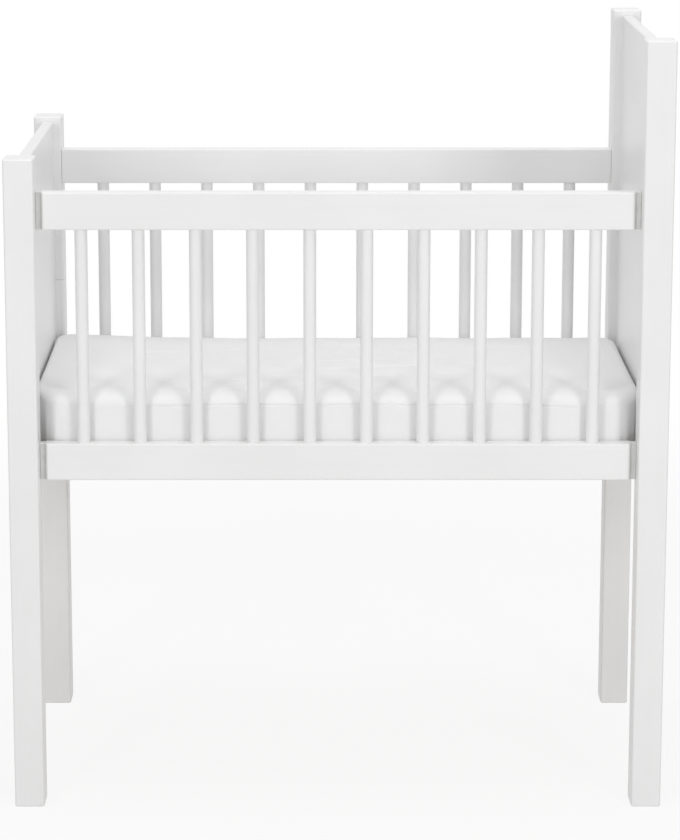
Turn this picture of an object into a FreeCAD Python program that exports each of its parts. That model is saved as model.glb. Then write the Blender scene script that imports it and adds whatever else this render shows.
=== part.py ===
# Bedside sleeper crib in painted wood, with a slatted base and a mattress in a fitted sheet.
#
# Axes: X runs along the length, from the low end (-X) to the high end (+X). Y runs from the front
# side (-Y), which hangs on studs and lifts off, to the back side (+Y), which is screwed. Z is up.
# The origin is on the floor, under the middle of the crib. All sizes are in millimetres.
import FreeCAD
import Part

import math
import os

from FreeCAD import Vector

# ---------------------------------------------------------------- driving dimensions
# Whole crib
overall_length = 880.0
overall_width = 490.0
side_height_above_floor = 453.0
side_height = 390.0
low_post_rise = 47.0
high_post_rise = 202.0

# Posts
post_length_x = 40.0
post_width_y = 45.0
post_edge_radius = 3.0
post_top_chamfer = 1.5
foot_chamfer = 1.5

# End panels, housed in the posts with a tongue on each upright edge
panel_thickness = 16.0
panel_edge_radius = 3.0
panel_drop_below_post = 7.0
tongue_thickness = 8.0
tongue_depth = 5.0

# Rails and spindles of both sides
rail_thickness = 22.0
rail_height = 50.0
rail_edge_radius = 2.0
rail_end_radius = 4.0
spindle_count = 10
spindle_diameter = 17.0
first_spindle_from_post = 59.0
spindle_socket_depth = 12.0

# Hanger plates on the ends of the front rails, and the studs in the posts that carry them
front_rail_end_gap = 8.0
hanger_plate_width = 12.0
hanger_plate_setback = 6.0
hanger_plate_chamfer = 0.8
stud_diameter = 6.0
stud_depth_in_post = 13.0
stud_height_in_plate = 18.0

# Joints between the back rails and the back posts: a stub tenon with a screw through its middle
tenon_thickness = 12.0
tenon_length = 12.0
tenon_shoulder = 8.0
screw_diameter = 6.0
screw_head_diameter = 11.0
screw_head_height = 4.0
screw_head_recess = 7.0
screw_key_across_flats = 4.0
screw_reach_in_rail = 36.0

# Base: cleats on the panels, two bearers on the cleats, slats on the bearers
cleat_thickness = 20.0
cleat_height = 14.0
bearer_width = 40.0
bearer_height = 14.0
slat_count = 9
slat_width = 50.0
slat_thickness = 7.0
base_edge_chamfer = 1.5
base_side_gap = 2.0
base_end_gap = 1.0

# Mattress in its fitted sheet
mattress_height = 80.0
mattress_crown = 3.0
mattress_corner_radius = 80.0
mattress_roll_radius = 22.0
mattress_side_draw_in = 2.0
mattress_gap_low_end = 3.0
mattress_gap_high_end = 9.0
sheet_thickness = 1.0
sheet_hem_width = 70.0
roll_steps = 2
crown_corner_radius = 6.0

# Clearances
seat_clearance = 0.3
glue_gap = 0.2
hole_clearance = 0.1
end_clearance = 1.0

# ---------------------------------------------------------------- derived places
post_centre_x = overall_length / 2 - post_length_x / 2
post_inner_x = overall_length / 2 - post_length_x
post_inner_y = overall_width / 2 - post_width_y
panel_inner_x = post_centre_x - panel_thickness / 2
rail_centre_y = post_inner_y + rail_thickness / 2
bottom_rail_z = side_height_above_floor
top_rail_z = side_height_above_floor + side_height - rail_height
side_top_z = side_height_above_floor + side_height
rail_levels = {"bottom": bottom_rail_z, "top": top_rail_z}
ends = {"low": -1, "high": 1}
end_heights = {"low": side_top_z + low_post_rise, "high": side_top_z + high_post_rise}
front_rail_half_length = post_inner_x - front_rail_end_gap
hanger_plate_thickness = front_rail_end_gap - seat_clearance
hanger_plate_y = -(post_inner_y + rail_thickness - hanger_plate_setback - hanger_plate_width / 2)
stud_length = stud_depth_in_post + front_rail_end_gap - end_clearance
cleat_top_z = bottom_rail_z + cleat_height
bearer_top_z = cleat_top_z + bearer_height
slat_top_z = bearer_top_z + slat_thickness
base_half_length = panel_inner_x - base_end_gap
base_half_width = post_inner_y - base_side_gap
bearer_centre_y = base_half_width - bearer_width / 2
mattress_length = 2 * panel_inner_x - mattress_gap_low_end - mattress_gap_high_end
mattress_centre_x = (mattress_gap_low_end - mattress_gap_high_end) / 2

along_x = Vector(1, 0, 0)
along_y = Vector(0, 1, 0)
along_z = Vector(0, 0, 1)
parts = {}


# ---------------------------------------------------------------- shape helpers
def block(x_limits, y_limits, z_limits):
    """Block between two values along each axis, given in either order."""
    low = Vector(min(x_limits), min(y_limits), min(z_limits))
    high = Vector(max(x_limits), max(y_limits), max(z_limits))
    size = high - low
    return Part.makeBox(size.x, size.y, size.z, low)


def middle_and_size(middle, size):
    """Two limits of a stretch, from its middle and its size."""
    return middle - size / 2, middle + size / 2


def edges_along(shape, direction):
    """Straight edges of a shape that run along a direction."""
    found = []
    for edge in shape.Edges:
        run = edge.Vertexes[-1].Point - edge.Vertexes[0].Point
        if run.Length > 0 and abs(run.normalize().dot(direction)) > 0.999:
            found.append(edge)
    return found


def edges_at_height(shape, height):
    """Edges of a shape that lie in the level plane at a height."""
    level = 0.001
    return [
        edge
        for edge in shape.Edges
        if abs(edge.BoundBox.ZMin - height) < level and abs(edge.BoundBox.ZMax - height) < level
    ]


def round_bar(direction, start, diameter, length):
    """Round bar that starts at a point and runs along a direction."""
    return Part.makeCylinder(diameter / 2, length, start, direction)


def hole_for(direction, start, diameter, length):
    """Round bar that is larger than a fitting by the hole clearance, to cut its hole with."""
    return round_bar(direction, start, diameter + 2 * hole_clearance, length)


# ---------------------------------------------------------------- end frames
def panel_top_z(end):
    """Height of an end panel's top edge."""
    return end_heights[end] - panel_drop_below_post


def make_post(end, row):
    """Square post with eased edges, a stopped groove for the panel and its fitting holes.

    The row is -1 for the front and 1 for the back.
    """
    side = ends[end]
    post = block(
        middle_and_size(side * post_centre_x, post_length_x),
        (row * post_inner_y, row * overall_width / 2),
        (0, end_heights[end]),
    )
    post = post.makeFillet(post_edge_radius, edges_along(post, along_z))
    post = post.makeChamfer(post_top_chamfer, edges_at_height(post, end_heights[end]))
    post = post.makeChamfer(foot_chamfer, edges_at_height(post, 0))
    groove = block(
        middle_and_size(side * post_centre_x, tongue_thickness + 2 * glue_gap),
        (row * post_inner_y, row * (post_inner_y + tongue_depth + glue_gap)),
        (bottom_rail_z - glue_gap, panel_top_z(end) + glue_gap),
    )
    fittings = stud_holes(side) if row < 0 else tenon_mortises(side)
    return post.cut(Part.makeCompound([groove] + fittings))


def stud_holes(side):
    """Cutters for the blind holes of the hanger studs in one front post."""
    return [
        hole_for(direction, start, stud_diameter, stud_length)
        for start, direction in stud_places()
        if start.x * side > 0
    ]


def tenon_mortises(side):
    """Cutters for the mortises and counterbored screw holes in one back post."""
    cutters = []
    inwards = Vector(-side, 0, 0)
    outer_x = side * overall_length / 2
    for rail_z in rail_levels.values():
        mortise = block(
            (side * post_inner_x, side * (post_inner_x + tenon_length + glue_gap)),
            middle_and_size(rail_centre_y, tenon_thickness + 2 * glue_gap),
            (rail_z + tenon_shoulder - glue_gap, rail_z + rail_height - tenon_shoulder + glue_gap),
        )
        mouth = Vector(outer_x, rail_centre_y, rail_z + rail_height / 2)
        recess = round_bar(inwards, mouth, screw_head_diameter + end_clearance, screw_head_recess)
        shank_hole = hole_for(inwards, mouth, screw_diameter, post_length_x)
        cutters.append(mortise.fuse([recess, shank_hole]))
    return cutters


def make_panel(end):
    """Solid end board with eased long edges and a tongue on each upright edge."""
    centre_x = ends[end] * post_centre_x
    heights = (bottom_rail_z, panel_top_z(end))
    panel = block(
        middle_and_size(centre_x, panel_thickness),
        (-post_inner_y, post_inner_y),
        heights,
    )
    panel = panel.makeFillet(panel_edge_radius, edges_along(panel, along_y))
    tongues = block(
        middle_and_size(centre_x, tongue_thickness),
        middle_and_size(0, 2 * (post_inner_y + tongue_depth)),
        heights,
    )
    return panel.fuse(tongues).removeSplitter()


# ---------------------------------------------------------------- sides
def spindle_places():
    """Places of the spindles along a side."""
    first = -(post_inner_x - first_spindle_from_post)
    pitch = -2 * first / (spindle_count - 1)
    return [first + number * pitch for number in range(spindle_count)]


def spindle_sockets(row, level):
    """Cutters for the spindles' blind sockets in the bottom or top rail of a side."""
    depth = spindle_socket_depth + end_clearance
    socket_z = bottom_rail_z + rail_height - depth if level == "bottom" else top_rail_z
    return [
        hole_for(along_z, Vector(place, row * rail_centre_y, socket_z), spindle_diameter, depth)
        for place in spindle_places()
    ]


def rail_blank(row, level, half_length):
    """Rail with its four long edges eased, before its ends and holes are worked."""
    rail = block(
        (-half_length, half_length),
        middle_and_size(row * rail_centre_y, rail_thickness),
        (rail_levels[level], rail_levels[level] + rail_height),
    )
    return rail.makeFillet(rail_edge_radius, edges_along(rail, along_x))


def make_front_rail(level):
    """Front rail, short of the posts, with rounded upright edges at its ends."""
    envelope = block(
        (-front_rail_half_length, front_rail_half_length),
        middle_and_size(-rail_centre_y, rail_thickness),
        (rail_levels[level], rail_levels[level] + rail_height),
    )
    envelope = envelope.makeFillet(rail_end_radius, edges_along(envelope, along_z))
    rail = rail_blank(-1, level, front_rail_half_length).common(envelope)
    return rail.cut(Part.makeCompound(spindle_sockets(-1, level)))


def make_back_rail(level):
    """Back rail with a stub tenon and a screw's pilot hole at each end."""
    rail_z = rail_levels[level]
    rail = rail_blank(1, level, post_inner_x)
    tenons = block(
        middle_and_size(0, 2 * (post_inner_x + tenon_length)),
        middle_and_size(rail_centre_y, tenon_thickness),
        (rail_z + tenon_shoulder, rail_z + rail_height - tenon_shoulder),
    )
    rail = rail.fuse(tenons).removeSplitter()
    holes = []
    for side in ends.values():
        start = Vector(side * (post_inner_x + tenon_length), rail_centre_y, rail_z + rail_height / 2)
        holes.append(hole_for(Vector(-side, 0, 0), start, screw_diameter,
                              tenon_length + screw_reach_in_rail + end_clearance))
    return rail.cut(Part.makeCompound(spindle_sockets(1, level) + holes))


def make_spindle(row, place):
    """Round spindle that is glued into a socket in each rail."""
    bottom_z = bottom_rail_z + rail_height - spindle_socket_depth
    length = side_height - 2 * rail_height + 2 * spindle_socket_depth
    return round_bar(along_z, Vector(place, row * rail_centre_y, bottom_z), spindle_diameter, length)


# ---------------------------------------------------------------- hangers of the front side
def make_hanger_plate(end, level):
    """Plate on a front rail's end, with a slot that opens downwards over the stud in the post."""
    rail_z = rail_levels[level]
    near_x = ends[end] * front_rail_half_length
    far_x = ends[end] * (front_rail_half_length + hanger_plate_thickness)
    plate = block(
        (near_x, far_x),
        middle_and_size(hanger_plate_y, hanger_plate_width),
        (rail_z, rail_z + rail_height),
    )
    plate = plate.makeChamfer(hanger_plate_chamfer, edges_along(plate, along_x))
    slot_width = stud_diameter + 2 * seat_clearance
    seat_z = rail_z + stud_height_in_plate
    slot = block((near_x, far_x), middle_and_size(hanger_plate_y, slot_width), (rail_z, seat_z))
    seat = round_bar(along_x, Vector(min(near_x, far_x), hanger_plate_y, seat_z), slot_width,
                     hanger_plate_thickness)
    return plate.cut(slot.fuse(seat))


def stud_places():
    """Start and direction of each stud, from the bottom of its hole towards the plate."""
    return [
        (
            Vector(side * (post_inner_x + stud_depth_in_post), hanger_plate_y,
                   rail_z + stud_height_in_plate),
            Vector(-side, 0, 0),
        )
        for side in ends.values()
        for rail_z in rail_levels.values()
    ]


def make_hanger_studs():
    """Steel studs in the front posts, one for each hanger plate."""
    return Part.makeCompound([
        round_bar(direction, start, stud_diameter, stud_length)
        for start, direction in stud_places()
    ])


# ---------------------------------------------------------------- screws of the back side
def make_back_rail_screws():
    """Connecting screws with a hexagon key socket, let into the back posts' outer faces."""
    screws = []
    for side in ends.values():
        inwards = Vector(-side, 0, 0)
        for rail_z in rail_levels.values():
            seat = Vector(side * (overall_length / 2 - screw_head_recess), rail_centre_y,
                          rail_z + rail_height / 2)
            crown = seat - inwards * screw_head_height
            head = round_bar(inwards, crown, screw_head_diameter, screw_head_height)
            shank = round_bar(inwards, seat, screw_diameter,
                              post_length_x - screw_head_recess + screw_reach_in_rail)
            socket = hexagon_prism(crown, inwards, screw_key_across_flats, screw_head_height / 2)
            screws.append(head.fuse(shank).removeSplitter().cut(socket))
    return Part.makeCompound(screws)


def hexagon_prism(centre, inwards, across_flats, depth):
    """Six-sided prism that goes inwards along X from a point, to cut a hexagon socket with."""
    radius = across_flats / math.sqrt(3)
    corners = []
    for turn in range(0, 360, 60):
        angle = math.radians(turn)
        corners.append(centre + Vector(0, radius * math.cos(angle), radius * math.sin(angle)))
    return Part.Face(Part.makePolygon(corners + corners[:1])).extrude(inwards * depth)


# ---------------------------------------------------------------- base
def make_cleat(side):
    """Batten on an end panel's inner face that carries the bearers."""
    cleat = block(
        (side * (panel_inner_x - cleat_thickness), side * panel_inner_x),
        (-base_half_width, base_half_width),
        (bottom_rail_z, cleat_top_z),
    )
    return cleat.makeChamfer(base_edge_chamfer, edges_along(cleat, along_y))


def make_bearer(row):
    """Long member of the base, with its ends on both cleats."""
    bearer = block(
        (-base_half_length, base_half_length),
        middle_and_size(row * bearer_centre_y, bearer_width),
        (cleat_top_z, bearer_top_z),
    )
    return bearer.makeChamfer(base_edge_chamfer, edges_along(bearer, along_x))


def slat_centres():
    """Places of the slats along the base."""
    first = -base_half_length + slat_width / 2
    pitch = -2 * first / (slat_count - 1)
    return [first + number * pitch for number in range(slat_count)]


def make_slat(centre_x):
    """Cross slat with eased long edges, on both bearers."""
    slat = block(
        middle_and_size(centre_x, slat_width),
        (-base_half_width, base_half_width),
        (bearer_top_z, slat_top_z),
    )
    return slat.makeChamfer(base_edge_chamfer, edges_along(slat, along_y))


# ---------------------------------------------------------------- mattress and sheet
def cushion_outline(half_length, half_width, corner_radius, height):
    """Closed level outline with round corners, whose four sides draw in between them."""
    centre = Vector(mattress_centre_x, 0, height)
    straight_x = half_length - corner_radius
    straight_y = half_width - corner_radius
    bulge = corner_radius * math.sqrt(0.5)
    arcs = []
    for turn_x, turn_y in ((1, 1), (-1, 1), (-1, -1), (1, -1)):
        on_end = centre + Vector(turn_x * half_length, turn_y * straight_y, 0)
        on_side = centre + Vector(turn_x * straight_x, turn_y * half_width, 0)
        corner = centre + Vector(turn_x * (straight_x + bulge), turn_y * (straight_y + bulge), 0)
        arcs.append(Part.Arc(on_end, corner, on_side))
        if turn_x == turn_y:
            far_end = centre + Vector(-turn_x * straight_x, turn_y * half_width, 0)
            drawn_in = centre + Vector(0, turn_y * (half_width - mattress_side_draw_in), 0)
            arcs.append(Part.Arc(on_side, drawn_in, far_end))
        else:
            far_end = centre + Vector(turn_x * half_length, -turn_y * straight_y, 0)
            drawn_in = centre + Vector(turn_x * (half_length - mattress_side_draw_in), 0, 0)
            arcs.append(Part.Arc(on_end, drawn_in, far_end))
    return Part.Wire(Part.__sortEdges__([arc.toShape() for arc in arcs]))


def cushion_levels(height, roll_radius):
    """Pairs of (inset, height) for the cushion's outlines, from its underside to its crown."""
    levels = []
    for step in range(roll_steps + 1):
        turn = math.radians(90 * step / roll_steps)
        levels.append((roll_radius * (1 - math.sin(turn)), roll_radius * (1 - math.cos(turn))))
    for step in range(roll_steps + 1):
        turn = math.radians(90 * step / roll_steps)
        levels.append((roll_radius * (1 - math.cos(turn)), height - roll_radius * (1 - math.sin(turn))))
    levels.append((mattress_corner_radius - crown_corner_radius, height + mattress_crown))
    return levels


def make_cushion(shrink):
    """Crowned cushion with rolled edges, made smaller all round by the shrink."""
    half_length = mattress_length / 2 - shrink
    half_width = post_inner_y - seat_clearance - shrink
    base_z = slat_top_z + seat_clearance + shrink
    outlines = []
    for inset, level in cushion_levels(mattress_height - 2 * shrink, mattress_roll_radius - shrink):
        outlines.append(cushion_outline(
            half_length - inset,
            half_width - inset,
            mattress_corner_radius - inset,
            base_z + level,
        ))
    return Part.makeLoft(outlines, True, True)


def make_fitted_sheet():
    """Sheet over the top and sides of the mattress, with a hem gathered under its edges."""
    skin = make_cushion(0).cut(make_cushion(sheet_thickness))
    window = block(
        middle_and_size(mattress_centre_x, mattress_length - 2 * sheet_hem_width),
        middle_and_size(0, 2 * (post_inner_y - sheet_hem_width)),
        (slat_top_z, slat_top_z + mattress_height / 2),
    )
    window = window.makeFillet(mattress_corner_radius / 2, edges_along(window, along_z))
    return skin.cut(window)


# ---------------------------------------------------------------- assembly
def build_end_frames():
    """Both end frames: two posts and a panel each."""
    for end in ends:
        parts[end + "_end_front_post"] = make_post(end, -1)
        parts[end + "_end_back_post"] = make_post(end, 1)
        parts[end + "_end_panel"] = make_panel(end)


def build_sides():
    """Front side with its hangers, and back side with its screws."""
    for level in rail_levels:
        parts["front_" + level + "_rail"] = make_front_rail(level)
        parts["back_" + level + "_rail"] = make_back_rail(level)
        for end in ends:
            parts["hanger_plate_" + end + "_" + level] = make_hanger_plate(end, level)
    for number, place in enumerate(spindle_places(), 1):
        parts["front_spindle_%02d" % number] = make_spindle(-1, place)
        parts["back_spindle_%02d" % number] = make_spindle(1, place)
    parts["hanger_studs"] = make_hanger_studs()
    parts["back_rail_screws"] = make_back_rail_screws()


def build_base():
    """Cleats, bearers and slats."""
    for end, side in ends.items():
        parts[end + "_end_cleat"] = make_cleat(side)
    parts["front_bearer"] = make_bearer(-1)
    parts["back_bearer"] = make_bearer(1)
    for number, centre_x in enumerate(slat_centres(), 1):
        parts["base_slat_%d" % number] = make_slat(centre_x)


def build_mattress():
    """Mattress and its fitted sheet."""
    parts["mattress_core"] = make_cushion(sheet_thickness + seat_clearance)
    parts["fitted_sheet"] = make_fitted_sheet()


build_end_frames()
build_sides()
build_base()
build_mattress()

os.makedirs("parts", exist_ok=True)
for name, shape in parts.items():
    shape.exportStep("parts/" + name + ".step")
    print(name, len(shape.Solids), "solid(s)", "valid" if shape.isValid() else "NOT VALID",
          round(shape.Volume / 1000, 2), "cm3")
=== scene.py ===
"""Bedside sleeper crib: its painted, wooden, metal and woven finishes, its mattress in a fitted
sheet, its small fittings, and the pale studio that it stands in."""

import logging
import math
from collections.abc import Iterable, Sequence
from dataclasses import dataclass
from enum import Enum
from typing import Any

import bmesh
import bpy
import numpy as np
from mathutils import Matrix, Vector


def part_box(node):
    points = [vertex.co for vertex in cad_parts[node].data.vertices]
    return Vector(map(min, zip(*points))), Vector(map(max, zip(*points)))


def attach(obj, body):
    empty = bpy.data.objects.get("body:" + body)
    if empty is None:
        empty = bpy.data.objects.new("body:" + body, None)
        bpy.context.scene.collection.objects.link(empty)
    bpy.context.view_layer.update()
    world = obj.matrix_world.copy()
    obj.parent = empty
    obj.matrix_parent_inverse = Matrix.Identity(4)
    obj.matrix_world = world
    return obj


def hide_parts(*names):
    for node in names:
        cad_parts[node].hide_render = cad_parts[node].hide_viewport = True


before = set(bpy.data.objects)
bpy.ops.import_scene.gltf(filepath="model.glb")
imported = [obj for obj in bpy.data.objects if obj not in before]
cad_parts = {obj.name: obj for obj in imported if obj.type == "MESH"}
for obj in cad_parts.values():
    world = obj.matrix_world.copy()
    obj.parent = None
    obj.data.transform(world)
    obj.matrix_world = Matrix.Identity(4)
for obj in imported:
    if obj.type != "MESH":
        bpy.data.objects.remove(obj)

LOG = logging.getLogger("sleeper_crib")
Colour = tuple[float, float, float, float]
Triple = tuple[float, float, float]
Inputs = dict[int | str, Any]
NodeTree = bpy.types.NodeTree
NodeSocket = bpy.types.NodeSocket


class Body(Enum):
    """The bodies that pieces ride on."""

    FRAME = "crib_frame"
    FRONT = "front_side"
    MATTRESS = "mattress"


class Slot(Enum):
    """The record's material slots."""

    PAINT = "white_painted_wood"
    WOOD = "bare_wood"
    STEEL = "zinc_steel"
    PLASTIC = "white_plastic"
    SHEET = "sheet_cotton"
    TICKING = "mattress_cover"


class Grain(Enum):
    """How wood grain is drawn out: the number of streaks in a metre along X, Y and Z."""

    ALONG_X = (5.0, 110.0, 110.0)
    ALONG_Y = (110.0, 5.0, 110.0)
    ALONG_Z = (110.0, 110.0, 5.0)


# ---------------------------------------------------------------- wiring of nodes
class Wiring:
    """Short calls that lay out the nodes of one tree."""

    def __init__(self, tree: NodeTree) -> None:
        """Keeps the tree to work on.

        Args:
            tree: The node tree that gets the nodes.
        """
        self.tree = tree

    def feed(self, socket: NodeSocket, value: Any) -> None:
        """Joins a socket to another one, or sets its value.

        Args:
            socket: The input to feed.
            value: An output socket to join it to, or a plain value.
        """
        if isinstance(value, NodeSocket):
            self.tree.links.new(value, socket)
        else:
            socket.default_value = value

    def node(self, kind: str, inputs: Inputs | None = None, **settings: Any) -> bpy.types.Node:
        """Adds a node.

        Args:
            kind: Blender's name of the node type.
            inputs: What each input gets, by its name or number.
            **settings: The node's own properties.

        Returns:
            The new node.
        """
        new = self.tree.nodes.new(kind)
        for name, value in settings.items():
            setattr(new, name, value)
        for key, value in (inputs or {}).items():
            self.feed(new.inputs[key], value)
        return new

    def made(self, kind: str, inputs: Inputs | None = None, **settings: Any) -> NodeSocket:
        """Adds a node and gives its first output.

        Args:
            kind: Blender's name of the node type.
            inputs: What each input gets, by its name or number.
            **settings: The node's own properties.

        Returns:
            The output's socket.
        """
        return self.node(kind, inputs, **settings).outputs[0]

    def maths(self, operation: str, *values: Any, clamp: bool = False) -> NodeSocket:
        """Adds a Math node.

        Args:
            operation: The Math node's operation.
            *values: Sockets or numbers for its inputs, in order.
            clamp: Whether the result is kept from 0 to 1.

        Returns:
            The result's socket.
        """
        return self.made("ShaderNodeMath", dict(enumerate(values)), operation=operation, use_clamp=clamp)

    def vector(self, operation: str, *values: Any) -> NodeSocket:
        """Adds a Vector Math node.

        Args:
            operation: The Vector Math node's operation.
            *values: Sockets or triples for its inputs, in order.

        Returns:
            The resulting vector's socket.
        """
        return self.made("ShaderNodeVectorMath", dict(enumerate(values)), operation=operation)

    def xyz(self, x: Any = 0.0, y: Any = 0.0, z: Any = 0.0) -> NodeSocket:
        """Joins three values into a vector.

        Args:
            x: The first value or its socket.
            y: The second one.
            z: The third one.

        Returns:
            The vector's socket.
        """
        return self.made("ShaderNodeCombineXYZ", {0: x, 1: y, 2: z})

    def split(self, value: Any) -> Sequence[NodeSocket]:
        """Splits a vector.

        Args:
            value: The vector's socket.

        Returns:
            The sockets of its X, Y and Z.
        """
        return self.node("ShaderNodeSeparateXYZ", {0: value}).outputs

    def noise(self, place: Any, scale: float, detail: float = 2.0, roughness: float = 0.5) -> NodeSocket:
        """Adds a Noise Texture.

        Args:
            place: The socket of the coordinates.
            scale: How many lumps there are in a metre.
            detail: The number of finer layers.
            roughness: How strong the finer layers are.

        Returns:
            The noise value's socket, from 0 to 1.
        """
        inputs = {"Vector": place, "Scale": scale, "Detail": detail, "Roughness": roughness}
        return self.made("ShaderNodeTexNoise", inputs)

    def ease(self, value: Any, low: Any, high: Any, to_low: float = 0.0, to_high: float = 1.0) -> NodeSocket:
        """Maps a value smoothly from one range to another.

        Args:
            value: The socket of the value.
            low: The value at which the result is to_low.
            high: The value at which the result is to_high.
            to_low: The result's low end.
            to_high: The result's high end.

        Returns:
            The result's socket.
        """
        inputs = {0: value, 1: low, 2: high, 3: to_low, 4: to_high}
        return self.made("ShaderNodeMapRange", inputs, interpolation_type="SMOOTHSTEP")

    def blend(self, share: Any, first: Any, second: Any) -> NodeSocket:
        """Mixes two colours.

        Args:
            share: The share of the second colour.
            first: The first colour or its socket.
            second: The second colour or its socket.

        Returns:
            The mixed colour's socket.
        """
        return self.node("ShaderNodeMix", {0: share, 6: first, 7: second}, data_type="RGBA").outputs[2]

    def group(self, tree: NodeTree, inputs: Inputs) -> Sequence[NodeSocket]:
        """Adds a shader node group.

        Args:
            tree: The group's own tree.
            inputs: What each of its inputs gets, by name.

        Returns:
            The group's outputs, by name.
        """
        return self.node("ShaderNodeGroup", inputs, node_tree=tree).outputs


class GroupWiring(Wiring):
    """The wiring of a node group with named inputs and outputs."""

    def __init__(self, name: str, kind: str, inputs: dict[str, Any], outputs: Sequence[str]) -> None:
        """Makes the empty group.

        Args:
            name: The group's name.
            kind: Shader or Geometry.
            inputs: The kind of each input, or the number or triple that it starts with.
            outputs: The names of its outputs.
        """
        super().__init__(bpy.data.node_groups.new(name, kind + "NodeTree"))
        results = dict.fromkeys(outputs, "Float" if kind == "Shader" else "Geometry")
        for direction, sockets in (("INPUT", inputs), ("OUTPUT", results)):
            for label, value in sockets.items():
                form = value if isinstance(value, str) else "Vector" if isinstance(value, tuple) else "Float"
                socket = self.tree.interface.new_socket(
                    name=label, in_out=direction, socket_type="NodeSocket" + form
                )
                if value is not form:
                    socket.default_value = value
        self.given = self.node("NodeGroupInput").outputs
        self.result = self.node("NodeGroupOutput").inputs

    def ended(self, **results: Any) -> NodeTree:
        """Feeds the group's outputs.

        Args:
            **results: What each output gets, by its name.

        Returns:
            The finished group.
        """
        for name, value in results.items():
            self.feed(self.result[name], value)
        return self.tree


class Coat(Wiring):
    """The wiring of one material round its Principled shader."""

    def __init__(self, name: str) -> None:
        """Makes the material, with the object coordinates in metres as its place.

        Args:
            name: The material's name.
        """
        self.material = bpy.data.materials.new(name)
        self.material.use_nodes = True
        super().__init__(self.material.node_tree)
        self.shader = next(n for n in self.tree.nodes if n.bl_idname == "ShaderNodeBsdfPrincipled")
        self.place = self.node("ShaderNodeTexCoord").outputs["Object"]

    def facing(self) -> NodeSocket:
        """The way that the surface looks."""
        return self.node("ShaderNodeNewGeometry").outputs["Normal"]

    def finished(self, inputs: dict[str, Any], height: Any = None) -> bpy.types.Material:
        """Feeds the shader.

        Args:
            inputs: What its inputs get, by their names.
            height: The socket of the surface's relief, in metres.

        Returns:
            The material.
        """
        for name, value in inputs.items():
            self.feed(self.shader.inputs[name], value)
        if height is not None:
            bump = self.made("ShaderNodeBump", {"Height": height, "Distance": 1.0, "Strength": 1.0})
            self.feed(self.shader.inputs["Normal"], bump)
        return self.material


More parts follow.
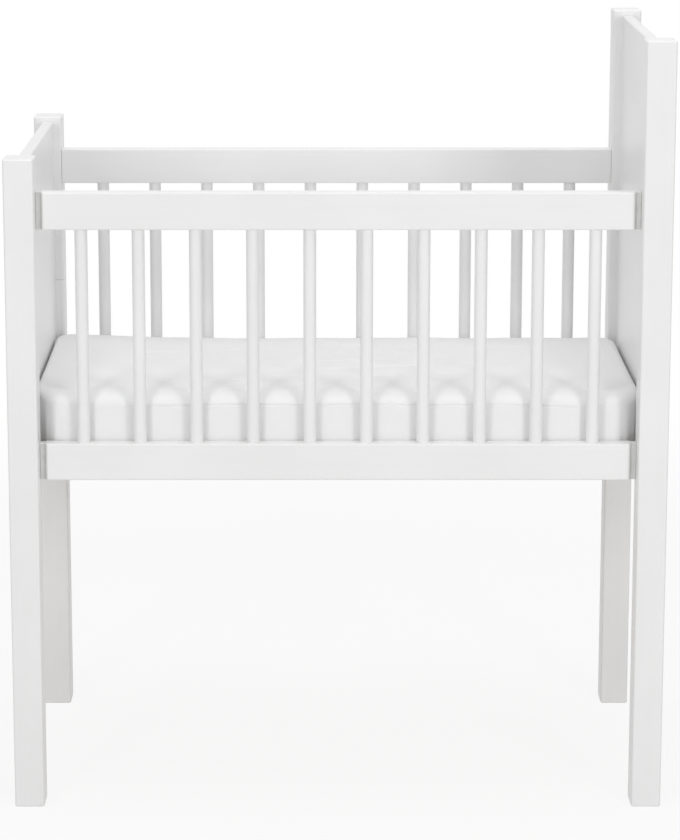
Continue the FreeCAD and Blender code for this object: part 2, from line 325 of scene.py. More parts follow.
# ---------------------------------------------------------------- effects that finishes share
class Effects:
    """The shader node groups that several finishes use, each made once."""

    def __init__(self) -> None:
        """Makes every group."""
        self.paint_film = self._paint_film()
        self.edge_wear = self._edge_wear()
        self.wood_figure = self._wood_figure()
        self.weave_face = self._weave_face()
        self.woven_cloth = self._woven_cloth()
        self.settled_dust = self._settled_dust()

    @staticmethod
    def _paint_film() -> NodeTree:
        """Paint over wood: drifting tone, grain that shows through, and the roller's fine stipple."""
        group = GroupWiring(
            "paint_film",
            "Shader",
            {"Place": "Vector", "Streaks": (110.0, 110.0, 5.0), "Grain Depth": 0.00003, "Stipple Depth": 0.00001},
            ("Tone", "Height", "Gloss"),
        )
        place = group.given["Place"]
        drawn_out = group.vector("MULTIPLY", place, group.given["Streaks"])
        grain = group.noise(drawn_out, 1.0, 4.0, 0.6)
        streaks = group.maths("MULTIPLY_ADD", group.noise(drawn_out, 3.7, 3.0, 0.65), 0.45, grain)
        drift = group.maths("MULTIPLY", group.noise(place, 6.0), 0.7)
        raised_grain = group.maths("MULTIPLY", streaks, group.given["Grain Depth"])
        stipple = group.noise(place, 620.0, 2.0, 0.6)
        return group.ended(
            Tone=group.maths("MULTIPLY_ADD", streaks, 0.25, drift),
            Height=group.maths("MULTIPLY_ADD", stipple, group.given["Stipple Depth"], raised_grain),
            Gloss=group.noise(place, 23.0, 3.0, 0.55),
        )

    @staticmethod
    def _edge_wear() -> NodeTree:
        """How near a point of a board is to one of its arrises, with an uneven edge."""
        group = GroupWiring(
            "edge_wear",
            "Shader",
            {"Place": "Vector", "Low Corner": "Vector", "High Corner": "Vector", "Width": 0.003},
            ("Mask",),
        )
        place = group.given["Place"]
        from_low = group.vector("SUBTRACT", place, group.given["Low Corner"])
        from_high = group.vector("SUBTRACT", group.given["High Corner"], place)
        x, y, z = group.split(group.vector("MINIMUM", from_low, from_high))
        greater = group.maths("MINIMUM", group.maths("MAXIMUM", x, y), z)
        to_arris = group.maths("MAXIMUM", group.maths("MINIMUM", x, y), greater)
        uneven = group.maths("ADD", group.noise(place, 95.0, 3.0, 0.6), 0.35)
        reach = group.maths("MULTIPLY", group.given["Width"], uneven)
        return group.ended(Mask=group.ease(to_arris, 0.0, reach, 1.0, 0.0))

    @staticmethod
    def _wood_figure() -> NodeTree:
        """Bare wood: growth rings, pores and their relief."""
        group = GroupWiring(
            "wood_figure",
            "Shader",
            {"Place": "Vector", "Streaks": (110.0, 5.0, 110.0), "Ring Count": 2.2, "Depth": 0.00004},
            ("Rings", "Pores", "Height"),
        )
        drawn_out = group.vector("MULTIPLY", group.given["Place"], group.given["Streaks"])
        bent = group.noise(group.vector("MULTIPLY", drawn_out, (0.12, 0.12, 0.12)), 1.0)
        turns = group.maths("MULTIPLY", bent, group.maths("MULTIPLY", group.given["Ring Count"], 10.0))
        wave = group.maths("SINE", group.maths("MULTIPLY", turns, 2.0 * math.pi))
        rings = group.maths("MULTIPLY_ADD", wave, 0.5, 0.5)
        pores = group.ease(group.noise(drawn_out, 9.0, 3.0, 0.7), 0.52, 0.66)
        relief = group.maths("MULTIPLY_ADD", rings, 0.4, group.maths("MULTIPLY", pores, -1.0))
        height = group.maths("MULTIPLY", relief, group.given["Depth"])
        return group.ended(Rings=rings, Pores=pores, Height=height)

    @staticmethod
    def _weave_face() -> NodeTree:
        """A plain weave on one plane: threads that pass over and under each other."""
        group = GroupWiring("weave_face", "Shader", {"Across": "Float", "Along": "Float"}, ("Height",))
        heights, turns = [], []
        for name in ("Across", "Along"):
            swing = group.maths("SINE", group.maths("MULTIPLY", group.given[name], math.pi))
            heights.append(group.maths("POWER", group.maths("ABSOLUTE", swing), 0.6))
            turns.append(group.maths("FLOOR", group.given[name]))
        parity = group.maths("MODULO", group.maths("ABSOLUTE", group.maths("ADD", *turns)), 2.0)
        across = group.maths("MULTIPLY", heights[0], group.maths("MULTIPLY_ADD", parity, 0.45, 0.55))
        along = group.maths("MULTIPLY", heights[1], group.maths("MULTIPLY_ADD", parity, -0.45, 1.0))
        return group.ended(Height=group.maths("MAXIMUM", across, along))

    def _woven_cloth(self) -> NodeTree:
        """A weave on every face of a body, whichever way the face looks."""
        group = GroupWiring(
            "woven_cloth",
            "Shader",
            {"Place": "Vector", "Facing": "Vector", "Threads": 2200.0, "Depth": 0.00004},
            ("Weave", "Slub", "Height"),
        )
        place = group.given["Place"]
        scaling = {0: place, "Scale": group.given["Threads"]}
        x, y, z = group.split(group.made("ShaderNodeVectorMath", scaling, operation="SCALE"))
        sides = group.split(group.vector("ABSOLUTE", group.given["Facing"]))
        shares = [group.maths("POWER", side, 6.0) for side in sides]
        total = group.maths("ADD", shares[0], group.maths("ADD", shares[1], shares[2]))
        weave: Any = 0.0
        for share, (across, along) in zip(shares, ((y, z), (x, z), (x, y))):
            face = group.group(self.weave_face, {"Across": across, "Along": along})
            weave = group.maths("MULTIPLY_ADD", face["Height"], share, weave)
        weave = group.maths("DIVIDE", weave, total)
        slub = group.noise(group.vector("MULTIPLY", place, (160.0, 24.0, 160.0)), 1.0, 3.0, 0.6)
        height = group.maths("MULTIPLY", weave, group.given["Depth"])
        return group.ended(Weave=weave, Slub=slub, Height=height)

    @staticmethod
    def _settled_dust() -> NodeTree:
        """A thin uneven film on faces that look up."""
        inputs = {"Place": "Vector", "Facing": "Vector", "Amount": 0.3}
        group = GroupWiring("settled_dust", "Shader", inputs, ("Mask",))
        upwards = group.split(group.given["Facing"])[2]
        patches = group.ease(group.noise(group.given["Place"], 34.0, 4.0, 0.65), 0.35, 0.75)
        lying = group.maths("MULTIPLY", group.ease(upwards, 0.2, 0.9), patches)
        return group.ended(Mask=group.maths("MULTIPLY", lying, group.given["Amount"]))


# ---------------------------------------------------------------- finishes
@dataclass(frozen=True)
class PaintedWood:
    """Satin white paint, rolled on smooth wood."""

    colour: Colour = (0.86, 0.86, 0.86, 1.0)
    shaded_colour: Colour = (0.82, 0.82, 0.818, 1.0)
    thin_colour: Colour = (0.81, 0.806, 0.79, 1.0)
    joint_colour: Colour = (0.52, 0.52, 0.50, 1.0)
    roughness: float = 0.34
    grain_depth: float = 0.00005
    stipple_depth: float = 0.000012
    worn_share: float = 0.5
    joint_height: float | None = None

    def _joint(self, coat: Coat) -> NodeSocket:
        """A glued joint across the post, which shows as a hairline through the paint.

        Args:
            coat: The material's wiring.

        Returns:
            The socket of the hairline's mask.
        """
        away = coat.maths("ABSOLUTE", coat.maths("SUBTRACT", coat.split(coat.place)[2], self.joint_height))
        broken = coat.ease(coat.noise(coat.place, 260.0), 0.3, 0.55, 0.45, 1.0)
        return coat.maths("MULTIPLY", coat.ease(away, 0.0003, 0.0011, 1.0, 0.0), broken)

    def material(
        self, effects: Effects, name: str, grain: Grain, corners: tuple[Vector, Vector] | None = None
    ) -> bpy.types.Material:
        """Makes the paint for one piece.

        Args:
            effects: The shared node groups.
            name: The piece that it is for.
            grain: The way the wood's grain runs.
            corners: The board's low and high corners, where its arrises wear.

        Returns:
            The material.
        """
        coat = Coat("satin_paint_" + name)
        depths = {"Grain Depth": self.grain_depth, "Stipple Depth": self.stipple_depth}
        film = coat.group(effects.paint_film, {"Place": coat.place, "Streaks": grain.value, **depths})
        colour = coat.blend(coat.ease(film["Tone"], 0.3, 0.75), self.shaded_colour, self.colour)
        rough = coat.maths("MULTIPLY_ADD", film["Gloss"], 0.12, self.roughness - 0.04)
        if corners is not None:
            board = {"Low Corner": tuple(corners[0]), "High Corner": tuple(corners[1])}
            wear = coat.group(effects.edge_wear, {"Place": coat.place, **board})
            share = coat.maths("MULTIPLY", wear["Mask"], self.worn_share)
            colour = coat.blend(share, colour, self.thin_colour)
            rough = coat.maths("MULTIPLY_ADD", share, -0.1, rough)
        relief = film["Height"]
        if self.joint_height is not None:
            joint = self._joint(coat)
            colour = coat.blend(coat.maths("MULTIPLY", joint, 0.6), colour, self.joint_colour)
            relief = coat.maths("MULTIPLY_ADD", joint, -0.00012, relief)
        return coat.finished({"Base Color": colour, "Roughness": rough, "Specular IOR Level": 0.45}, relief)


@dataclass(frozen=True)
class BareWood:
    """Planed, unpainted wood under a thin matte oil."""

    light: Colour = (0.70, 0.535, 0.36, 1.0)
    dark: Colour = (0.52, 0.365, 0.22, 1.0)
    pore: Colour = (0.40, 0.27, 0.16, 1.0)
    dust: Colour = (0.74, 0.70, 0.64, 1.0)
    roughness: float = 0.58
    relief: float = 0.00006

    def material(self, effects: Effects, name: str, grain: Grain) -> bpy.types.Material:
        """Makes the wood for one kind of board.

        Args:
            effects: The shared node groups.
            name: What it is for.
            grain: The way the grain runs.

        Returns:
            The material.
        """
        coat = Coat("bare_wood_" + name)
        form = {"Place": coat.place, "Streaks": grain.value, "Depth": self.relief}
        figure = coat.group(effects.wood_figure, form)
        lying = {"Place": coat.place, "Facing": coat.facing(), "Amount": 0.25}
        dust = coat.group(effects.settled_dust, lying)
        colour = coat.blend(figure["Rings"], self.light, self.dark)
        board = coat.ease(coat.noise(coat.place, 11.0, 1.0), 0.35, 0.65, 0.0, 0.35)
        colour = coat.blend(board, colour, self.light)
        colour = coat.blend(coat.maths("MULTIPLY", figure["Pores"], 0.55), colour, self.pore)
        colour = coat.blend(dust["Mask"], colour, self.dust)
        rough = coat.maths("MULTIPLY_ADD", figure["Pores"], 0.15, self.roughness)
        return coat.finished({"Base Color": colour, "Roughness": rough}, figure["Height"])


@dataclass(frozen=True)
class ZincSteel:
    """Bright zinc on turned steel."""

    light: Colour = (0.72, 0.73, 0.74, 1.0)
    dull: Colour = (0.50, 0.51, 0.52, 1.0)
    roughness: float = 0.28

    def material(self) -> bpy.types.Material:
        """Makes the material."""
        coat = Coat("zinc_steel")
        cloud = coat.ease(coat.noise(coat.place, 260.0, 4.0, 0.65), 0.3, 0.7)
        scratches = coat.noise(coat.vector("MULTIPLY", coat.place, (300.0, 2600.0, 2600.0)), 1.0)
        rough = coat.maths("MULTIPLY_ADD", scratches, 0.22, self.roughness - 0.08)
        inputs = {"Base Color": coat.blend(cloud, self.dull, self.light), "Roughness": rough, "Metallic": 1.0}
        return coat.finished(inputs, coat.maths("MULTIPLY", scratches, 0.000008))


@dataclass(frozen=True)
class WhitePlastic:
    """Moulded white plastic with a fine spark-worn texture."""

    colour: Colour = (0.76, 0.76, 0.75, 1.0)
    flow_colour: Colour = (0.70, 0.70, 0.68, 1.0)
    roughness: float = 0.42

    def material(self) -> bpy.types.Material:
        """Makes the material."""
        coat = Coat("white_plastic")
        flow = coat.ease(coat.noise(coat.place, 60.0, 3.0), 0.35, 0.7)
        spark = coat.noise(coat.place, 1900.0, 2.0, 0.6)
        rough = coat.maths("MULTIPLY_ADD", spark, 0.1, self.roughness)
        inputs = {"Base Color": coat.blend(flow, self.colour, self.flow_colour), "Roughness": rough}
        return coat.finished(inputs, coat.maths("MULTIPLY", spark, 0.00001))


@dataclass(frozen=True)
class WovenCotton:
    """Plainly woven cotton, its colour darkened in the weave's hollows as painted shade."""

    name: str = "sheet_cotton"
    colour: Colour = (0.87, 0.87, 0.87, 1.0)
    # Painted shade: the colour where the weave is low, darker than the threads' own colour.
    weave_shade_colour: Colour = (0.81, 0.81, 0.81, 1.0)
    threads_per_metre: float = 2300.0
    depth: float = 0.00005
    sheen: float = 0.12

    def material(self, effects: Effects) -> bpy.types.Material:
        """Makes the cloth.

        Args:
            effects: The shared node groups.

        Returns:
            The material.
        """
        coat = Coat(self.name)
        threads = {"Threads": self.threads_per_metre, "Depth": self.depth}
        cloth = coat.group(effects.woven_cloth, {"Place": coat.place, "Facing": coat.facing(), **threads})
        slub = coat.ease(cloth["Slub"], 0.4, 0.75, 0.0, 0.25)
        # Painted shade from the weave's height, darker in its hollows; the slubs add the yarn's own uneven tone.
        lit = coat.maths("ADD", coat.ease(cloth["Weave"], 0.2, 0.9), slub, clamp=True)
        inputs = {
            "Base Color": coat.blend(lit, self.weave_shade_colour, self.colour),
            "Roughness": coat.maths("MULTIPLY_ADD", coat.noise(coat.place, 18.0), 0.12, 0.78),
            "Specular IOR Level": 0.25,
            "Sheen Weight": self.sheen,
            "Sheen Roughness": 0.5,
        }
        return coat.finished(inputs, cloth["Height"])


# ---------------------------------------------------------------- meshes
def new_piece(name: str, mesh: bpy.types.Mesh, material: bpy.types.Material | None = None) -> bpy.types.Object:
    """Puts a mesh in the scene, with its object at the origin.

    Args:
        name: The piece's name.
        mesh: Its mesh, in the crib's own frame.
        material: Its finish, where it is new to the mesh.

    Returns:
        The new object.
    """
    mesh.name = name
    piece = bpy.data.objects.new(name, mesh)
    bpy.context.scene.collection.objects.link(piece)
    if material is not None:
        mesh.materials.clear()
        mesh.materials.append(material)
    return piece


def mesh_of(name: str, points: Iterable[Any], faces: Iterable[Sequence[int]], smooth: bool = True) -> bpy.types.Mesh:
    """Makes a mesh from points and faces.

    Args:
        name: The mesh's name.
        points: Its points.
        faces: The numbers of each face's points.
        smooth: Whether it is shaded smooth.

    Returns:
        The mesh.
    """
    mesh = bpy.data.meshes.new(name)
    mesh.from_pydata([tuple(p) for p in points], [], [tuple(int(i) for i in f) for f in faces])
    mesh.validate()
    mesh.polygons.foreach_set("use_smooth", [smooth] * len(mesh.polygons))
    mesh.update()
    return mesh


def at_points(mesh: bpy.types.Mesh, what: str = "co") -> np.ndarray:
    """Reads a triple at each of a mesh's points.

    Args:
        mesh: The mesh.
        what: co for the places, or normal for the way that each one looks.

    Returns:
        The triples, one row each.
    """
    flat = np.empty(len(mesh.vertices) * 3)
    mesh.vertices.foreach_get(what, flat)
    return flat.reshape(-1, 3)


def put_places(mesh: bpy.types.Mesh, points: np.ndarray) -> None:
    """Moves a mesh's points.

    Args:
        mesh: The mesh.
        points: The new places, one row each.
    """
    mesh.vertices.foreach_set("co", np.ascontiguousarray(points, float).ravel())
    mesh.update()


def baked(piece: bpy.types.Object) -> bpy.types.Mesh:
    """Makes the plain mesh that a piece shows with its modifiers.

    Args:
        piece: The piece.

    Returns:
        The mesh.
    """
    depsgraph = bpy.context.evaluated_depsgraph_get()
    depsgraph.update()
    return bpy.data.meshes.new_from_object(piece.evaluated_get(depsgraph), depsgraph=depsgraph)


def outward(mesh: bpy.types.Mesh) -> None:
    """Turns a mesh's faces outwards, with its highest one looking up.

    Args:
        mesh: The mesh.
    """
    shell = bmesh.new()
    shell.from_mesh(mesh)
    bmesh.ops.recalc_face_normals(shell, faces=shell.faces)
    if max(shell.faces, key=lambda face: face.calc_center_median().z).normal.z < 0:
        bmesh.ops.reverse_faces(shell, faces=shell.faces)
    shell.to_mesh(mesh)
    shell.free()


def band(first: Sequence[int], second: Sequence[int]) -> list[tuple[int, int, int, int]]:
    """Joins two rings with cells.

    Args:
        first: The numbers of one ring's points.
        second: The numbers of the other's, as many.

    Returns:
        The cells.
    """
    count = len(first)
    return [(first[k], first[(k + 1) % count], second[(k + 1) % count], second[k]) for k in range(count)]


def open_edge(mesh: bpy.types.Mesh) -> tuple[np.ndarray, np.ndarray]:
    """Follows the one open edge of a mesh.

    Args:
        mesh: The mesh.

    Returns:
        The edge's points in plan, in order, and the outward direction at each.
    """
    shell = bmesh.new()
    shell.from_mesh(mesh)
    here = next(edge for edge in shell.edges if edge.is_boundary).verts[0]
    start, last, order = here, None, []
    while True:
        order.append((here.co.x, here.co.y))
        step = next(e for e in here.link_edges if e.is_boundary and e is not last)
        here, last = step.other_vert(here), step
        if here is start:
            break
    shell.free()
    points = np.array(order)
    along = np.roll(points, -1, 0) - np.roll(points, 1, 0)
    across = np.column_stack([along[:, 1], -along[:, 0]])
    across /= np.linalg.norm(across, axis=1, keepdims=True)
    if ((points - points.mean(0)) * across).sum() < 0:
        across = -across
    return points, across


def evened(points: np.ndarray, ways: np.ndarray, count: int) -> tuple[np.ndarray, np.ndarray, float]:
    """Spaces a closed line's points evenly.

    Args:
        points: The line's points in plan.
        ways: A direction at each point.
        count: How many points there will be.

    Returns:
        The new points, their directions, and the line's length.
    """
    closed = np.vstack([points, points[:1]])
    turned = np.vstack([ways, ways[:1]])
    at = np.concatenate([[0.0], np.cumsum(np.linalg.norm(np.diff(closed, axis=0), axis=1))])
    wanted = np.arange(count) * at[-1] / count
    spots, found = (
        np.column_stack([np.interp(wanted, at, rows[:, k]) for k in range(2)]) for rows in (closed, turned)
    )
    found /= np.linalg.norm(found, axis=1, keepdims=True)
    return spots, found, float(at[-1])


def subdivided(piece: bpy.types.Object, levels: int) -> None:
    """Rounds a piece's mesh by subdivision and keeps the result.

    Args:
        piece: The piece.
        levels: How many times each cell is divided.
    """
    modifier = piece.modifiers.new("rounding", "SUBSURF")
    modifier.levels = modifier.render_levels = levels
    rounded = baked(piece)
    piece.modifiers.remove(modifier)
    old, name = piece.data, piece.data.name
    piece.data = rounded
    bpy.data.meshes.remove(old)
    rounded.name = name
    rounded.polygons.foreach_set("use_smooth", [True] * len(rounded.polygons))


# ---------------------------------------------------------------- geometry trees
class Fittings:
    """The geometry node trees that repeat a small form at many places."""

    def __init__(self) -> None:
        """Makes every tree."""
        self.countersunk_screws = self._countersunk_screws()
        self.paint_collars = self._paint_collars()
        self.slat_row = self._slat_row()
        self.stitch_row = self._stitch_row()

    @staticmethod
    def _facing(group: GroupWiring, seed: int) -> NodeSocket:
        """Turns a form's Z along each point's facing, and the form at random about it.

        Args:
            group: The tree's wiring.
            seed: The seed of the turn about the axis.

        Returns:
            The socket of the rotation.
        """
        facing = group.made("GeometryNodeInputNamedAttribute", {"Name": "facing"}, data_type="FLOAT_VECTOR")
        aligned = group.made("FunctionNodeAlignRotationToVector", {"Vector": facing}, axis="Z")
        turn = group.node("FunctionNodeRandomValue", {2: 0.0, 3: 2.0 * math.pi, "Seed": seed}, data_type="FLOAT")
        spin = {"Axis": (0.0, 0.0, 1.0), "Angle": turn.outputs[1]}
        about = group.made("FunctionNodeAxisAngleToRotation", spin)
        return group.made("FunctionNodeRotateRotation", {0: aligned, 1: about}, rotation_space="LOCAL")

    @staticmethod
    def _countersink(group: GroupWiring, top: Any, bottom: Any, depth: Any, place: Any) -> NodeSocket:
        """Makes a cone.

        Args:
            group: The tree's wiring.
            top: The socket of its upper radius.
            bottom: The socket of its lower radius.
            depth: The socket of its height.
            place: The socket of its foot's place.

        Returns:
            The cone's socket.
        """
        sizes = {"Vertices": 28, "Radius Top": top, "Radius Bottom": bottom, "Depth": depth}
        cone = group.made("GeometryNodeMeshCone", sizes)
        return group.made("GeometryNodeTransform", {"Geometry": cone, "Translation": place})

    @staticmethod
    def _cut(group: GroupWiring, body: Any, cutter: Any) -> NodeSocket:
        """Cuts one mesh out of another.

        Args:
            group: The tree's wiring.
            body: The socket of the mesh to cut.
            cutter: The socket of the mesh to cut it with.

        Returns:
            The result's socket.
        """
        return group.made("GeometryNodeMeshBoolean", {0: body, 1: cutter}, operation="DIFFERENCE", solver="EXACT")

    @staticmethod
    def _ended(group: GroupWiring, points: Any, form: Any, rotation: Any = None) -> NodeTree:
        """Puts a form at each point and ends the tree with real meshes in their finish.

        Args:
            group: The tree's wiring.
            points: The socket of the points.
            form: The socket of the form.
            rotation: The socket of its turn at each point.

        Returns:
            The finished tree.
        """
        turned = {} if rotation is None else {"Rotation": rotation}
        many = group.made("GeometryNodeInstanceOnPoints", {"Points": points, "Instance": form, **turned})
        real = group.made("GeometryNodeRealizeInstances", {0: many})
        dressed = {"Geometry": real, "Material": group.given["Material"]}
        group.feed(group.result[0], group.made("GeometryNodeSetMaterial", dressed))
        return group.tree

    def _countersunk_screws(self) -> NodeTree:
        """Countersunk screw heads with a cross recess."""
        inputs = {
            "Points": "Geometry",
            "Head Radius": 0.0038,
            "Shank Radius": 0.0019,
            "Head Depth": 0.0022,
            "Recess Length": 0.0042,
            "Recess Width": 0.0009,
            "Recess Depth": 0.0012,
            "Material": "Material",
        }
        group = GroupWiring("countersunk_screws", "Geometry", inputs, ("Heads",))
        given = group.given
        depth, length, width = given["Head Depth"], given["Recess Length"], given["Recess Width"]
        sunk = group.xyz(z=group.maths("MULTIPLY", depth, -1.0))
        head = self._countersink(group, given["Head Radius"], given["Shank Radius"], depth, sunk)
        high = group.maths("MULTIPLY", given["Recess Depth"], 2.0)
        for size_x, size_y in ((length, width), (width, length)):
            slit = group.made("GeometryNodeMeshCube", {"Size": group.xyz(size_x, size_y, high)})
            head = self._cut(group, head, slit)
        return self._ended(group, given["Points"], head, self._facing(group, 11))

    def _paint_collars(self) -> NodeTree:
        """Beads of paint round the spindles where they enter the rails."""
        inputs = {"Points": "Geometry", "Spindle Radius": 0.0085, "Bead": 0.0007, "Material": "Material"}
        group = GroupWiring("paint_collars", "Geometry", inputs, ("Collars",))
        path, bead = (
            group.made("GeometryNodeCurvePrimitiveCircle", {"Resolution": count, "Radius": group.given[radius]})
            for count, radius in ((32, "Spindle Radius"), (6, "Bead"))
        )
        ring = group.made("GeometryNodeCurveToMesh", {"Curve": path, "Profile Curve": bead})
        soft = group.made("GeometryNodeSetShadeSmooth", {"Geometry": ring, "Shade Smooth": True})
        return self._ended(group, group.given["Points"], soft, self._facing(group, 5))

    def _slat_row(self) -> NodeTree:
        """Slats with eased edges and countersunk holes."""
        inputs = {
            "Points": "Geometry",
            "Width": 0.05,
            "Thickness": 0.007,
            "Length": 0.396,
            "Eased Edge": 0.0015,
            "Screw From Middle": 0.178,
            "Hole Radius": 0.004,
            "Hole Depth": 0.0023,
            "Material": "Material",
        }
        group = GroupWiring("slat_row", "Geometry", inputs, ("Slats",))
        given = group.given
        size = {"Width": given["Width"], "Height": given["Thickness"]}
        outline = group.made("GeometryNodeCurvePrimitiveQuadrilateral", size)
        easing = {"Curve": outline, "Radius": given["Eased Edge"], "Count": 4}
        eased = group.made("GeometryNodeFilletCurve", easing, mode="POLY")
        half = group.maths("MULTIPLY", given["Length"], 0.5)
        start, end = (group.xyz(y=group.maths("MULTIPLY", half, side)) for side in (-1.0, 1.0))
        line = group.made("GeometryNodeCurvePrimitiveLine", {"Start": start, "End": end})
        sweep = {"Curve": line, "Profile Curve": eased, "Fill Caps": True}
        board = group.made("GeometryNodeCurveToMesh", sweep)
        top = group.maths("MULTIPLY", given["Thickness"], 0.5)
        depth, radius = given["Hole Depth"], given["Hole Radius"]
        foot = group.maths("SUBTRACT", top, group.maths("MULTIPLY", depth, 0.97))
        narrow = group.maths("MULTIPLY", radius, 0.5)
        for side in (-1.0, 1.0):
            place = group.xyz(y=group.maths("MULTIPLY", given["Screw From Middle"], side), z=foot)
            board = self._cut(group, board, self._countersink(group, radius, narrow, depth, place))
        return self._ended(group, given["Points"], board)

    def _stitch_row(self) -> NodeTree:
        """Stitches that follow a line."""
        inputs = {
            "Line": "Geometry",
            "Pitch": 0.003,
            "Length": 0.0022,
            "Thread Radius": 0.00025,
            "Material": "Material",
        }
        group = GroupWiring("stitch_row", "Geometry", inputs, ("Stitches",))
        line = group.made("GeometryNodeMeshToCurve", {"Mesh": group.given["Line"]})
        spacing = {"Curve": line, "Length": group.given["Pitch"]}
        even = group.made("GeometryNodeResampleCurve", spacing, mode="LENGTH")
        thread = group.made("GeometryNodeMeshUVSphere", {"Segments": 6, "Rings": 4, "Radius": 1.0})
        radius, half = group.given["Thread Radius"], group.maths("MULTIPLY", group.given["Length"], 0.5)
        size = group.xyz(radius, radius, half)
        stitch = group.made("GeometryNodeTransform", {"Geometry": thread, "Scale": size})
        tangent = group.made("GeometryNodeInputTangent")
        along = group.made("FunctionNodeAlignRotationToVector", {"Vector": tangent}, axis="Z")
        return self._ended(group, even, stitch, along)

    @staticmethod
    def grow(
        tree: NodeTree,
        base: bpy.types.Mesh,
        name: str,
        material: bpy.types.Material,
        sizes: dict[str, float] | None = None,
    ) -> bpy.types.Object:
        """Runs a tree on a mesh of places and keeps the result as a plain piece.

        Args:
            tree: The geometry tree.
            base: The mesh that it starts from.
            name: The new piece's name.
            material: Its finish.
            sizes: The values of the tree's named inputs.

        Returns:
            The new piece.
        """
        seedling = new_piece(name + "_places", base)
        modifier = seedling.modifiers.new(name, "NODES")
        modifier.node_group = tree
        given = {"Material": material, **(sizes or {})}
        for item in tree.interface.items_tree:
            if item.item_type == "SOCKET" and item.in_out == "INPUT" and item.name in given:
                modifier[item.identifier] = given[item.name]
        mesh = baked(seedling)
        seedling.modifiers.remove(modifier)
        bpy.data.objects.remove(seedling)
        return new_piece(name, mesh)


def facing_points(name: str, places: Sequence[Triple], facings: Sequence[Triple]) -> bpy.types.Mesh:
    """Makes a mesh of loose points that each look a way.

    Args:
        name: The mesh's name.
        places: The points.
        facings: The way that each one looks.

    Returns:
        The mesh, with the attribute facing.
    """
    mesh = bpy.data.meshes.new(name)
    mesh.from_pydata(list(places), [], [])
    attribute = mesh.attributes.new("facing", "FLOAT_VECTOR", "POINT")
    attribute.data.foreach_set("vector", np.array(facings, float).ravel())
    return mesh


